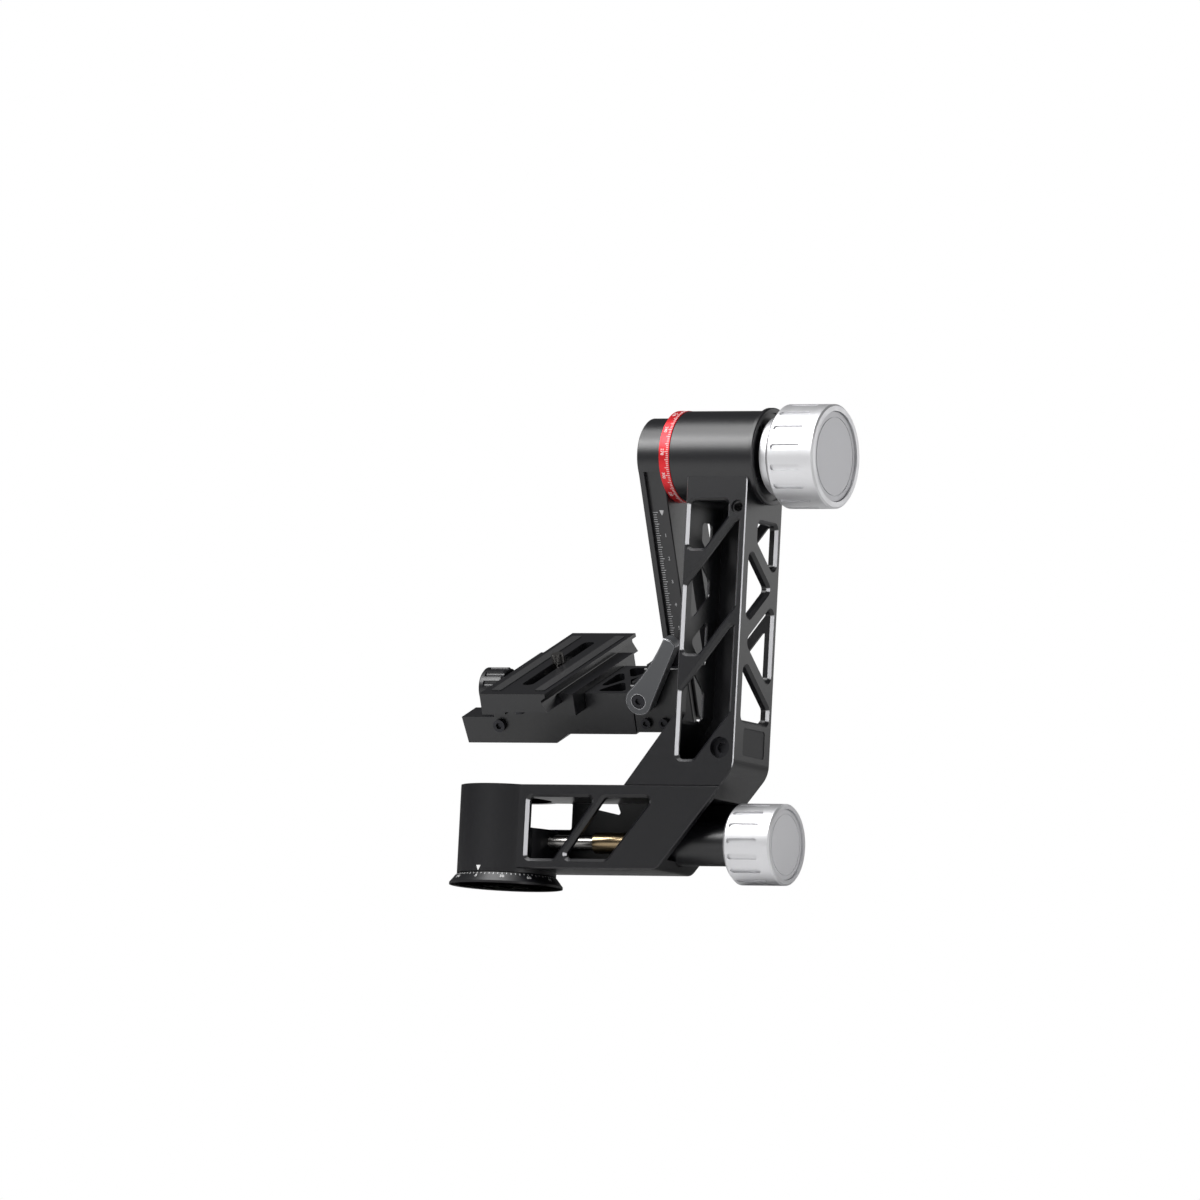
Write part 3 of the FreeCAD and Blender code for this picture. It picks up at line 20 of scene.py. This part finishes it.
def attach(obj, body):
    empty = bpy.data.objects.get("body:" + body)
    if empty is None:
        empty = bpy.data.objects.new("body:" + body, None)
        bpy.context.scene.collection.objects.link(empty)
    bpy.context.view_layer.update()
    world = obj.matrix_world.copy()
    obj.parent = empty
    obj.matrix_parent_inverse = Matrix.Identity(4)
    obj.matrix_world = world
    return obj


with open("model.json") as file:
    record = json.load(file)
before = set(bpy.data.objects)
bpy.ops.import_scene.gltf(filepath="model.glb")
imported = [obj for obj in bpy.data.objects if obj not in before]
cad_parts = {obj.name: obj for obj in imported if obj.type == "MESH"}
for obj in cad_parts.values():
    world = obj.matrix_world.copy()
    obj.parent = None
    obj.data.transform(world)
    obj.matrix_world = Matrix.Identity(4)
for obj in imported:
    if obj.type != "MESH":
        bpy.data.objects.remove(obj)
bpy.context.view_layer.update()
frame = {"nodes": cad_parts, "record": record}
MM = 0.001

# %% [markdown]
# ## How a finish is built
#
# Every finish is one shader with a little life in it. Bead blasting leaves a fine even grain,
# a lathe leaves rings round its axis and a brush leaves streaks. Each is a noise that is
# stretched in the object's own directions, so it stays on the piece as the joint moves.

# %% Helpers for shader nodes
EVEN = (1.0, 1.0, 1.0)
BARE_METAL = (0.60, 0.60, 0.62)
GRAIN_DETAIL, GRAIN_STRENGTH = 3.0, 0.6
PATTERN_LOW, PATTERN_HIGH = 0.3, 0.7


def start_finish(name):
    """A new material with one shader joined to its output."""
    material = bpy.data.materials.new(name)
    material.use_nodes = True
    tree = material.node_tree
    tree.nodes.clear()
    output = tree.nodes.new("ShaderNodeOutputMaterial")
    shader = tree.nodes.new("ShaderNodeBsdfPrincipled")
    tree.links.new(shader.outputs["BSDF"], output.inputs["Surface"])
    return material, tree, shader


def set_values(shader, colour, metallic, roughness):
    """The constant values of a shader: its colour, how metallic and how rough it is."""
    shader.inputs["Base Color"].default_value = (*colour, 1.0)
    shader.inputs["Metallic"].default_value = metallic
    shader.inputs["Roughness"].default_value = roughness


def math_node(tree, operation, first, second=None):
    """One arithmetic step. Each input is a socket or a number."""
    node = tree.nodes.new("ShaderNodeMath")
    node.operation = operation
    for place, value in zip(node.inputs, (first, second)):
        if isinstance(value, bpy.types.NodeSocket):
            tree.links.new(value, place)
        elif value is not None:
            place.default_value = value
    return node.outputs[0]


def stretch(tree, value, low, high, new_low=0.0, new_high=1.0):
    """Maps a value from one range to another, smoothly and without overshoot."""
    node = tree.nodes.new("ShaderNodeMapRange")
    node.interpolation_type = "SMOOTHSTEP"
    tree.links.new(value, node.inputs["Value"])
    limits = {"From Min": low, "From Max": high, "To Min": new_low, "To Max": new_high}
    for key, number in limits.items():
        node.inputs[key].default_value = number
    return node.outputs["Result"]


def scaled_place(tree, centre, along):
    """The object's own coordinates, measured from a centre and scaled by direction."""
    place = tree.nodes.new("ShaderNodeTexCoord")
    mapping = tree.nodes.new("ShaderNodeMapping")
    mapping.inputs["Location"].default_value = [-c * a for c, a in zip(centre, along)]
    mapping.inputs["Scale"].default_value = along
    tree.links.new(place.outputs["Object"], mapping.inputs["Vector"])
    return mapping.outputs["Vector"]


def split(tree, kind):
    """X, Y and Z of the surface's place, "Object", or of the way it faces, "Normal"."""
    place = tree.nodes.new("ShaderNodeTexCoord")
    parts = tree.nodes.new("ShaderNodeSeparateXYZ")
    tree.links.new(place.outputs[kind], parts.inputs[0])
    return [parts.outputs[key] for key in "XYZ"]


def grain(tree, fineness, along=EVEN):
    """Noise on the object's own coordinates. along squeezes it by direction, to make rings."""
    noise = tree.nodes.new("ShaderNodeTexNoise")
    noise.inputs["Scale"].default_value = fineness
    noise.inputs["Detail"].default_value = GRAIN_DETAIL
    tree.links.new(scaled_place(tree, (0.0, 0.0, 0.0), along), noise.inputs["Vector"])
    return noise.outputs["Fac"]


def rings(tree, centre, along, fineness):
    """Noise of the distance from an axis, which gives the fine rings of a faced end."""
    length = tree.nodes.new("ShaderNodeVectorMath")
    length.operation = "LENGTH"
    noise = tree.nodes.new("ShaderNodeTexNoise")
    noise.noise_dimensions = "1D"
    noise.inputs["Scale"].default_value = fineness
    tree.links.new(scaled_place(tree, centre, along), length.inputs[0])
    tree.links.new(length.outputs["Value"], noise.inputs["W"])
    return noise.outputs["Fac"]


def add_bump(tree, shader, pattern, height, strength):
    """Raises the pattern as a bump of that height in metres."""
    bump = tree.nodes.new("ShaderNodeBump")
    bump.inputs["Distance"].default_value = height
    bump.inputs["Strength"].default_value = strength
    tree.links.new(pattern, bump.inputs["Height"])
    tree.links.new(bump.outputs["Normal"], shader.inputs["Normal"])


def roughen(tree, shader, pattern, height, low, high):
    """The pattern moves the roughness between low and high, and raises a bump of that height."""
    spread = stretch(tree, pattern, PATTERN_LOW, PATTERN_HIGH, low, high)
    tree.links.new(spread, shader.inputs["Roughness"])
    add_bump(tree, shader, pattern, height, GRAIN_STRENGTH)


def show_mix(tree, share, first, second, output="Material Output"):
    """Shows the first shader where share is 0 and the second where it is 1."""
    mix = tree.nodes.new("ShaderNodeMixShader")
    tree.links.new(share, mix.inputs["Fac"])
    tree.links.new(first.outputs[0], mix.inputs[1])
    tree.links.new(second.outputs[0], mix.inputs[2])
    tree.links.new(mix.outputs["Shader"], tree.nodes[output].inputs["Surface"])


def add_bright(tree, shader, share, roughness):
    """Bare bright metal instead of the shader wherever share is 1."""
    bright = tree.nodes.new("ShaderNodeBsdfPrincipled")
    set_values(bright, BARE_METAL, 1.0, roughness)
    show_mix(tree, share, shader, bright)


print("shader helpers are ready")

# %% [markdown]
# ## Black anodised aluminium
#
# The arms are milled, bead blasted and dyed black. The film is thin glass over metal, so it
# stays dark and catches only a soft sheen. On the two lattice arms the upright corners are
# given bright bare metal as a painted highlight, which draws the corners' glints as a line
# down each bay. These corner faces are the level ones that look out halfway between X and Y.

# %% Black finishes
BLAST_FINENESS = 2600.0
LATTICE_START = 27.5 * MM
FACING_LOW, FACING_HIGH = 0.45, 0.6
LEVEL_LOW, LEVEL_HIGH = 0.25, 0.1


def blasted_black(name):
    """Bead-blasted black anodised aluminium."""
    material, tree, shader = start_finish(name)
    set_values(shader, (0.0048, 0.0048, 0.0062), 0.0, 0.34)
    shader.inputs["Specular IOR Level"].default_value = 0.6
    roughen(tree, shader, grain(tree, BLAST_FINENESS), 0.000008, 0.30, 0.38)
    return material, tree, shader


def corner_mask(tree, from_axis):
    """White on level faces between X and Y that lie further than from_axis from the pan axis.
    These are where the corners' glints are painted.
    """
    across, away, rise = (math_node(tree, "ABSOLUTE", part) for part in split(tree, "Normal"))
    both = stretch(tree, math_node(tree, "MINIMUM", across, away), FACING_LOW, FACING_HIGH)
    level = stretch(tree, rise, LEVEL_LOW, LEVEL_HIGH)
    squares = [math_node(tree, "POWER", part, 2.0) for part in split(tree, "Object")[:2]]
    reach = math_node(tree, "SQRT", math_node(tree, "ADD", *squares))
    far = math_node(tree, "GREATER_THAN", reach, from_axis)
    return math_node(tree, "MULTIPLY", math_node(tree, "MULTIPLY", both, level), far)


def cut_corner_black(name, from_axis):
    """Blasted black with bright bare metal on the upright corners, a painted highlight of glints.
    """
    material, tree, shader = blasted_black(name)
    add_bright(tree, shader, corner_mask(tree, from_axis), 0.36)
    return material


black = blasted_black("blasted_black")[0]
# The lattice arms' black carries a painted highlight: bright bare metal on the upright corners.
lattice_black_painted_glints = cut_corner_black("lattice_black_painted_glints", LATTICE_START)
print("black finishes:", black.name, lattice_black_painted_glints.name)

# %% [markdown]
# ## Silver, red and grey anodising
#
# The knobs are turned from bar, so faint rings run round the tilt axis and round the lock's
# axis. Their end discs are faced separately, which leaves a flatter, greyer surface. The scale
# ring is dyed red. The lever is grey, and bright bare metal along every sharp edge of it is a
# painted highlight of its rim.

# %% Silver, red and grey finishes
TURNED = (1.0, 0.02, 0.02)
TILT_HEIGHT, LOCK_HEIGHT = 227.5 * MM, 23.7 * MM
EDGE_SHARP, EDGE_FLAT = 0.86, 0.985


def turned_metal(name, colour, low, high, along=TURNED, fineness=5200.0, metallic=1.0):
    """Turned metal: fine rings round X, or an even grain where along is EVEN."""
    material, tree, shader = start_finish(name)
    set_values(shader, colour, metallic, low)
    roughen(tree, shader, grain(tree, fineness, along), 0.000006, low, high)
    return material


def faced_metal(name, colour, centre, low, high):
    """A faced end: rings round a centre in Y and Z."""
    material, tree, shader = start_finish(name)
    set_values(shader, colour, 0.6, low)
    roughen(tree, shader, rings(tree, centre, (0.0, 1.0, 1.0), 3600.0), 0.000005, low, high)
    return material


def rubbed_edges(tree, width):
    """White along sharp edges, where a highlight is painted: it compares the surface with a copy
    that is rounded by width.
    """
    rounded = tree.nodes.new("ShaderNodeBevel")
    rounded.samples = 6
    rounded.inputs["Radius"].default_value = width
    surface = tree.nodes.new("ShaderNodeNewGeometry")
    dot = tree.nodes.new("ShaderNodeVectorMath")
    dot.operation = "DOT_PRODUCT"
    tree.links.new(rounded.outputs["Normal"], dot.inputs[0])
    tree.links.new(surface.outputs["Normal"], dot.inputs[1])
    return stretch(tree, dot.outputs["Value"], EDGE_FLAT, EDGE_SHARP)


def grey_with_bright_rim(name):
    """Grey anodised aluminium with bright bare metal painted along its edges as a highlight."""
    material, tree, shader = start_finish(name)
    set_values(shader, (0.085, 0.088, 0.093), 0.35, 0.36)
    roughen(tree, shader, grain(tree, BLAST_FINENESS), 0.00001, 0.32, 0.42)
    add_bright(tree, shader, rubbed_edges(tree, 0.8 * MM), 0.3)
    return material


silver = turned_metal("turned_silver", (0.70, 0.70, 0.715), 0.4, 0.5, metallic=0.85)
tilt_face = faced_metal("tilt_knob_face", BARE_METAL, (0.0, 0.0, TILT_HEIGHT), 0.45, 0.55)
pan_face = faced_metal("pan_knob_face", (0.74, 0.74, 0.76), (0.0, 0.0, LOCK_HEIGHT), 0.45, 0.55)
red = turned_metal("red_anodised", (0.62, 0.018, 0.025), 0.3, 0.4, metallic=0.55)
# The lever's grey has bright bare metal along its edges, a painted highlight of the rim.
lever_grey = grey_with_bright_rim("lever_grey")
print("coloured finishes:", silver.name, red.name, lever_grey.name)

# %% [markdown]
# ## Screws, bearings, rubber and nylon
#
# Small parts keep the surface of their own trade. Screws are black oxide steel, spindles are
# machined, races and balls are ground and polished, and the guide tube and the knob's bush are
# turned brass. The plate's strips are rubber with fine ribs across them.

# %% The other finishes
RIB_PITCH, RIB_HEIGHT = 1.6 * MM, 0.3 * MM


def ribbed_rubber(name, pitch):
    """Matt rubber with ribs across Y, one for each pitch."""
    material, tree, shader = start_finish(name)
    set_values(shader, (0.013, 0.013, 0.014), 0.0, 0.7)
    turns = math_node(tree, "MULTIPLY", split(tree, "Object")[1], 2 * math.pi / pitch)
    wave = stretch(tree, math_node(tree, "SINE", turns), -0.6, 0.6)
    add_bump(tree, shader, wave, RIB_HEIGHT, 1.0)
    return material


def plain_plastic(name, colour, low, high):
    """Moulded or painted surface with a fine even grain."""
    material, tree, shader = start_finish(name)
    set_values(shader, colour, 0.0, low)
    roughen(tree, shader, grain(tree, 1800.0), 0.00001, low, high)
    return material


black_steel = turned_metal("black_oxide_steel", (0.03, 0.03, 0.034), 0.28, 0.4, EVEN, 1500.0, 0.8)
# Machined steel, darkened below bare steel: a painted shade for the dark inside of the arms.
steel = turned_metal("machined_steel", (0.30, 0.29, 0.28), 0.2, 0.26)
polished = turned_metal("polished_bearing_steel", (0.66, 0.66, 0.68), 0.08, 0.14, EVEN, 900.0)
# Turned brass, darkened below bare brass: a painted shade for the dark inside of the arms.
brass = turned_metal("turned_brass", (0.33, 0.25, 0.15), 0.2, 0.26)
rubber = ribbed_rubber("ribbed_rubber", RIB_PITCH)
nylon = plain_plastic("dark_nylon", (0.03, 0.03, 0.033), 0.42, 0.55)
plate_black = plain_plastic("bare_plate_black", (0.012, 0.012, 0.014), 0.5, 0.6)
white_paint = plain_plastic("white_paint", (0.72, 0.72, 0.72), 0.5, 0.6)
# A plain grey paint for the height scale's marks.
grey_scale_paint = plain_plastic("grey_scale_paint", (0.42, 0.42, 0.43), 0.5, 0.6)
print("small finishes:", steel.name, brass.name, rubber.name)

# %% [markdown]
# ## A finish for each piece
#
# Every piece names the kind of surface that it has. The lattice arms, the pan knob's end disc,
# the lever's stud and the side screw take a finish of their own instead.

# %% Put the finishes on the pieces
BY_SLOT = {
    "black": black,
    "black_screw": black_steel,
    "silver": silver,
    "silver_face": tilt_face,
    "red": red,
    "steel": steel,
    "bearing_steel": polished,
    "brass": brass,
    "grey": lever_grey,
    "rubber": rubber,
    "nylon": nylon,
    "label": plate_black,
}
BY_NODE = dict.fromkeys(("pan_arm", "upright_foot", "upright_arm", "tilt_housing"), lattice_black_painted_glints)
BY_NODE.update(pan_knob_cap=pan_face, lever_stud=black_steel, side_screw=black_steel)
SLOT_OF = {part["node"]: part["material_slot"] for part in frame["record"]["subparts"]}
for node, piece in frame["nodes"].items():
    finish = BY_NODE.get(node, BY_SLOT[SLOT_OF[node]])
    for place in piece.material_slots:
        place.material = finish
print(len(SLOT_OF), "pieces have a finish")

# %% [markdown]
# ## Painted marks
#
# A scale's ticks are filled with white paint, and those of the height scale with a grey paint.
# Each mark is a thin closed plate with one end as wide as the other or narrower, and it is laid
# on its surface point by point. Two rules do the laying: one wraps a flat drawing round a
# cylinder or a cone, the other sets it on a flat face.

# %% Laying a flat drawing on a surface
PAINT_LOW, PAINT_HIGH = -0.05 * MM, 0.04 * MM
PLATE_STEPS = 5
DIGIT_SHARE = 0.7


def in_scene(name, data):
    """A new object that holds this data, linked to the scene."""
    thing = bpy.data.objects.new(name, data)
    bpy.context.scene.collection.objects.link(thing)
    return thing


def wrapped(points, middle, first, second, axis, radius, height, slope, angle):
    """Wraps a drawing round an axis. For a point (x, y, t) of the drawing:
    r = radius - y sin(slope) + t cos(slope), h = height + y cos(slope) + t sin(slope),
    a = angle + x / radius, and the place is middle + h axis + r (cos a first + sin a second)."""
    x, y, t = points[:, 0], points[:, 1], points[:, 2]
    reach = radius - y * math.sin(slope) + t * math.cos(slope)
    rise = height + y * math.cos(slope) + t * math.sin(slope)
    turn = angle + x / radius
    out = np.outer(reach * np.cos(turn), first) + np.outer(reach * np.sin(turn), second)
    return np.asarray(middle) + np.outer(rise, axis) + out


def laid_flat(points, origin, right, up):
    """Sets a drawing on a flat face: origin + x right + y up + t (right x up)."""
    out = np.cross(right, up)
    return np.asarray(origin) + points @ np.array([right, up, out])


def mark_plates(rows):
    """Closed plates from rows of (x, low, high, half width at low, half width at high).
    For u in -1..1 and v in 0..1: X = x + u ((1 - v) half_low + v half_high),
    Y = low + v (high - low), T = the paint's lower or upper level."""
    rows = np.asarray(rows, float)
    u = np.linspace(-1.0, 1.0, PLATE_STEPS)[None, :, None, None]
    v = np.array([0.0, 1.0])[None, None, :, None]
    t = np.array([PAINT_LOW, PAINT_HIGH])[None, None, None, :]
    x, low, high, half_low, half_high = (rows[:, i][:, None, None, None] for i in range(5))
    across = x + u * ((1 - v) * half_low + v * half_high) + 0 * t
    along = low + v * (high - low) + 0 * (u + t)
    level = t + 0 * (x + u + v)
    points = np.stack([across, along, level], axis=-1).reshape(-1, 3)
    at = np.arange(4 * PLATE_STEPS).reshape(PLATE_STEPS, 2, 2)
    one, two = at[:-1], at[1:]
    faces = [
        np.stack([one[:, 0, 1], two[:, 0, 1], two[:, 1, 1], one[:, 1, 1]], 1),
        np.stack([one[:, 1, 0], two[:, 1, 0], two[:, 0, 0], one[:, 0, 0]], 1),
        np.stack([one[:, 0, 0], two[:, 0, 0], two[:, 0, 1], one[:, 0, 1]], 1),
        np.stack([two[:, 1, 0], one[:, 1, 0], one[:, 1, 1], two[:, 1, 1]], 1),
        np.array([[at[0, 1, 0], at[0, 0, 0], at[0, 0, 1], at[0, 1, 1]]]),
        np.array([[at[-1, 0, 0], at[-1, 1, 0], at[-1, 1, 1], at[-1, 0, 1]]]),
    ]
    faces = np.concatenate(faces)
    faces = (faces[None] + at.size * np.arange(len(rows))[:, None, None]).reshape(-1, 4)
    return points, [tuple(face) for face in faces.tolist()]


def number_plates(labels, height):
    """Closed plates in the shape of numbers, from rows of (text, x, y of the middle)."""
    all_points, all_faces, count = [], [], 0
    for text, x, y in labels:
        letters = bpy.data.curves.new("number", "FONT")
        letters.body = text
        letters.align_x, letters.align_y = "CENTER", "CENTER"
        letters.size = height / DIGIT_SHARE
        letters.extrude = (PAINT_HIGH - PAINT_LOW) / 2
        letters.resolution_u = 3
        holder = in_scene("number", letters)
        graph = bpy.context.evaluated_depsgraph_get()
        shape = bpy.data.meshes.new_from_object(holder.evaluated_get(graph))
        flat = np.empty(len(shape.vertices) * 3)
        shape.vertices.foreach_get("co", flat)
        points = flat.reshape(-1, 3) + [x, y, (PAINT_HIGH + PAINT_LOW) / 2]
        all_points.append(points)
        all_faces += [tuple(i + count for i in face.vertices) for face in shape.polygons]
        count += len(points)
        bpy.data.objects.remove(holder)
        bpy.data.meshes.remove(shape)
    return np.concatenate(all_points), all_faces


def painted(name, points, faces, body, paint=white_paint):
    """One painted piece that rides on a body of the frame."""
    shape = bpy.data.meshes.new(name)
    shape.from_pydata(points.tolist(), [], faces)
    shape.materials.append(paint)
    piece = in_scene(name, shape)
    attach(piece, body)
    print(name, len(points), "points", len(faces), "faces")


# %% [markdown]
# ## The pan scale
#
# The base's cone carries a tick every 5 degrees and a number every 30. The hub turns above it
# with a white pointer on its lower edge, and at rest the pointer stands over the scale's zero.

# %% Pan scale and its pointer
X, Y, Z = np.eye(3)
BASE_TOP_RADIUS, BASE_TOP = 26.3 * MM, 5.8 * MM
BASE_FOOT_RADIUS, BASE_FOOT_TOP = 30.0 * MM, 1.2 * MM
CONE_SLOPE = math.atan2(BASE_FOOT_RADIUS - BASE_TOP_RADIUS, BASE_TOP - BASE_FOOT_TOP)
HUB_RADIUS = 26.2 * MM
INDEX_ANGLE = math.radians(-96.4)
NUMBER_STEP, NUMBER_HEIGHT = 30, 1.7 * MM


def on_base_cone(points):
    return wrapped(points, (0, 0, 0), X, Y, Z, BASE_TOP_RADIUS, BASE_TOP, CONE_SLOPE, INDEX_ANGLE)


def ring_of_ticks(radius, step, top, short, long, half, long_every):
    """Rows for ticks every step degrees that hang down from top, with longer ones in between."""
    number = np.arange(round(360 / step))
    x = radius * np.radians(number * step)
    low = top - np.where(number % long_every == 0, long, short)
    same = np.full(len(x), half)
    return np.stack([x, low, np.full(len(x), top), same, same], axis=1)


def ring_of_numbers(radius, middle):
    """Numbers round a scale, with their middles at one height."""
    return [(str(a), radius * math.radians(a), middle) for a in range(0, 360, NUMBER_STEP)]


pan_ticks = ring_of_ticks(BASE_TOP_RADIUS, 5, -0.35 * MM, 0.9 * MM, 1.3 * MM, 0.13 * MM, 2)
points, faces = mark_plates(pan_ticks)
painted("pan_scale_ticks", on_base_cone(points), faces, "base")

pan_numbers = ring_of_numbers(BASE_TOP_RADIUS, -2.85 * MM)
points, faces = number_plates(pan_numbers, NUMBER_HEIGHT)
painted("pan_scale_numbers", on_base_cone(points), faces, "base")

pointer = [(0.0, 6.75 * MM, 9.3 * MM, 0.25 * MM, 1.35 * MM)]
points, faces = mark_plates(pointer)
points = wrapped(points, (0, 0, 0), X, Y, Z, HUB_RADIUS, 0.0, 0.0, INDEX_ANGLE)
painted("pan_pointer", points, faces, "pan_frame")

# %% [markdown]
# ## The tilt scale
#
# The red ring turns with the swing arm. Fine ticks stand along its edge by the housing, and
# numbers follow them along the other edge.

# %% Tilt scale
RING_RADIUS, RING_END = 24.2 * MM, 96.65 * MM
RING_START = math.radians(-90)


def on_tilt_ring(points):
    middle = (0, 0, TILT_HEIGHT)
    return wrapped(points, middle, Y, Z, X, RING_RADIUS, RING_END, 0.0, RING_START)


tilt_ticks = ring_of_ticks(RING_RADIUS, 2.5, -0.45 * MM, 1.3 * MM, 2.1 * MM, 0.12 * MM, 4)
points, faces = mark_plates(tilt_ticks)
painted("tilt_scale_ticks", on_tilt_ring(points), faces, "swing")

tilt_numbers = ring_of_numbers(RING_RADIUS, -4.0 * MM)
points, faces = number_plates(tilt_numbers, NUMBER_HEIGHT)
painted("tilt_scale_numbers", on_tilt_ring(points), faces, "swing")

# %% [markdown]
# ## The height scale
#
# The swing arm has a shallow channel down its edge. A row of ticks runs down the channel's left
# half with a number beside every tenth one, and a small pointer marks the start.

# %% Height scale
SWING_ANGLE = math.radians(23.5)
ARM_DOWN = np.array([0.0, math.sin(SWING_ANGLE), -math.cos(SWING_ANGLE)])
ARM_OUT = np.array([0.0, -math.cos(SWING_ANGLE), -math.sin(SWING_ANGLE)])
CHANNEL_MIDDLE, CHANNEL_FLOOR = 83.1 * MM, 18.0 * MM
SCALE_START, SCALE_PITCH, SCALE_TICKS = 24.9 * MM, 1.27 * MM, 61


def on_arm_channel(points):
    origin = np.array([CHANNEL_MIDDLE, 0.0, TILT_HEIGHT]) + CHANNEL_FLOOR * ARM_OUT
    return laid_flat(points, origin, X, -ARM_DOWN)


number = np.arange(SCALE_TICKS)
half = np.where(number % 5 == 0, 1.4, 1.0) * MM
y = -SCALE_START - SCALE_PITCH * number
height_ticks = np.stack([half - 3.3 * MM, y - 0.16 * MM, y + 0.16 * MM, half, half], axis=1)
start = [1.9 * MM, -SCALE_START - 1.5 * MM, -SCALE_START + 1.2 * MM, 0.2 * MM, 1.3 * MM]
points, faces = mark_plates(np.vstack([height_ticks, start]))
painted("height_scale_ticks", on_arm_channel(points), faces, "swing", grey_scale_paint)

rows = [(str(i), 2.3 * MM, -SCALE_START - 10 * i * SCALE_PITCH) for i in range(1, 7)]
points, faces = number_plates(rows, 1.9 * MM)
painted("height_scale_numbers", on_arm_channel(points), faces, "swing", grey_scale_paint)

# %% [markdown]
# ## The stage
#
# The head stands on a plain pale floor in front of white paper. The picture is taken from
# slightly below the floor's level, so the floor is open from below. The camera sees the paper at
# full white, while the room itself gives only a weak fill.

# %% Floor and backdrop
FLOOR_SIZE, FLOOR_DROP = 6.0, 0.4 * MM
FILL_STRENGTH, PAPER_STRENGTH = 0.08, 1.0


def pale_floor():
    """A floor that is solid from above and open from below."""
    material, tree, shader = start_finish("pale_floor")
    set_values(shader, (0.74, 0.74, 0.74), 0.0, 0.8)
    surface = tree.nodes.new("ShaderNodeNewGeometry")
    clear = tree.nodes.new("ShaderNodeBsdfTransparent")
    show_mix(tree, surface.outputs["Backfacing"], shader, clear)
    return material


def background(tree, strength):
    """Plain white light from all round."""
    node = tree.nodes.new("ShaderNodeBackground")
    node.inputs["Color"].default_value = (1.0, 1.0, 1.0, 1.0)
    node.inputs["Strength"].default_value = strength
    return node


bpy.ops.mesh.primitive_plane_add(size=FLOOR_SIZE, location=(0.0, 0.0, -FLOOR_DROP))
floor = bpy.context.object
floor.name = "floor"
floor.data.materials.append(pale_floor())

world = bpy.data.worlds.new("studio")
bpy.context.scene.world = world
world.use_nodes = True
tree = world.node_tree
tree.nodes.clear()
ray = tree.nodes.new("ShaderNodeLightPath")
tree.nodes.new("ShaderNodeOutputWorld")
fill, paper = background(tree, FILL_STRENGTH), background(tree, PAPER_STRENGTH)
show_mix(tree, ray.outputs["Is Camera Ray"], fill, paper, "World Output")
print("stage:", floor.name, world.name)

# %% [markdown]
# ## The lamps
#
# All four are soft rectangles that look at the middle of the head. A large one above and in front
# rolls a highlight along the housing, a tall narrow one at the right draws the bright corners, a
# wide weak one behind it lights the knobs' ends, and one overhead lifts the top faces.

# %% Lamps
MIDDLE = Vector((0.06, 0.0, 0.14))


def soft_lamp(name, towards, distance, width, height, power):
    """A rectangular lamp that looks at the middle of the object from a direction."""
    data = bpy.data.lights.new(name, "AREA")
    data.shape = "RECTANGLE"
    data.size, data.size_y = width, height
    data.energy = power
    lamp = in_scene(name, data)
    lamp.visible_camera = False
    way = Vector(towards).normalized()
    lamp.location = MIDDLE + way * distance
    lamp.rotation_mode = "QUATERNION"
    lamp.rotation_quaternion = way.to_track_quat("Z", "Y")


# Name, direction, then distance, width and height in metres, and power in watts
soft_lamp("front_lamp", (-0.47, -0.695, 0.543), 0.9, 0.5, 0.35, 5.0)
soft_lamp("corner_lamp", (0.877, -0.472, 0.093), 0.9, 0.10, 0.8, 1.0)
soft_lamp("right_lamp", (0.5, 0.8, 0.33), 0.9, 0.8, 0.6, 1.8)
soft_lamp("top_lamp", (-0.1, -0.5, 0.85), 0.8, 0.8, 0.6, 8.0)
print("lamps are in place")

# %% [markdown]
# ## The view
#
# The view is long and nearly level, a little from below, and leans by three degrees, as a
# product picture from across a studio would be.

# %% View
BACK = Vector((0.4719, -0.8768, -0.0929))
RIGHT = Vector((0.8806, 0.4739, 0.0))
UP = Vector((0.0440, -0.0818, 0.9957))
LEAN = math.radians(2.94)
SENSOR_WIDTH, FOCAL_LENGTH = 36.0, 463.4
DISTANCE, ASIDE, RAISED = 8.129, 0.0415, 0.1534
data = bpy.data.cameras.new("view")
data.sensor_width = SENSOR_WIDTH
data.lens = FOCAL_LENGTH
data.clip_start, data.clip_end = 1.0, 30.0
eye = in_scene("view", data)
across = RIGHT * math.cos(LEAN) + UP * math.sin(LEAN)
upward = UP * math.cos(LEAN) - RIGHT * math.sin(LEAN)
turned = Matrix((across, upward, BACK)).transposed()
eye.rotation_mode = "QUATERNION"
eye.rotation_quaternion = turned.to_quaternion()
eye.location = BACK * DISTANCE + RIGHT * ASIDE + UP * RAISED
bpy.context.scene.camera = eye
bpy.context.scene.view_settings.view_transform = "Standard"
print("view:", eye.name)
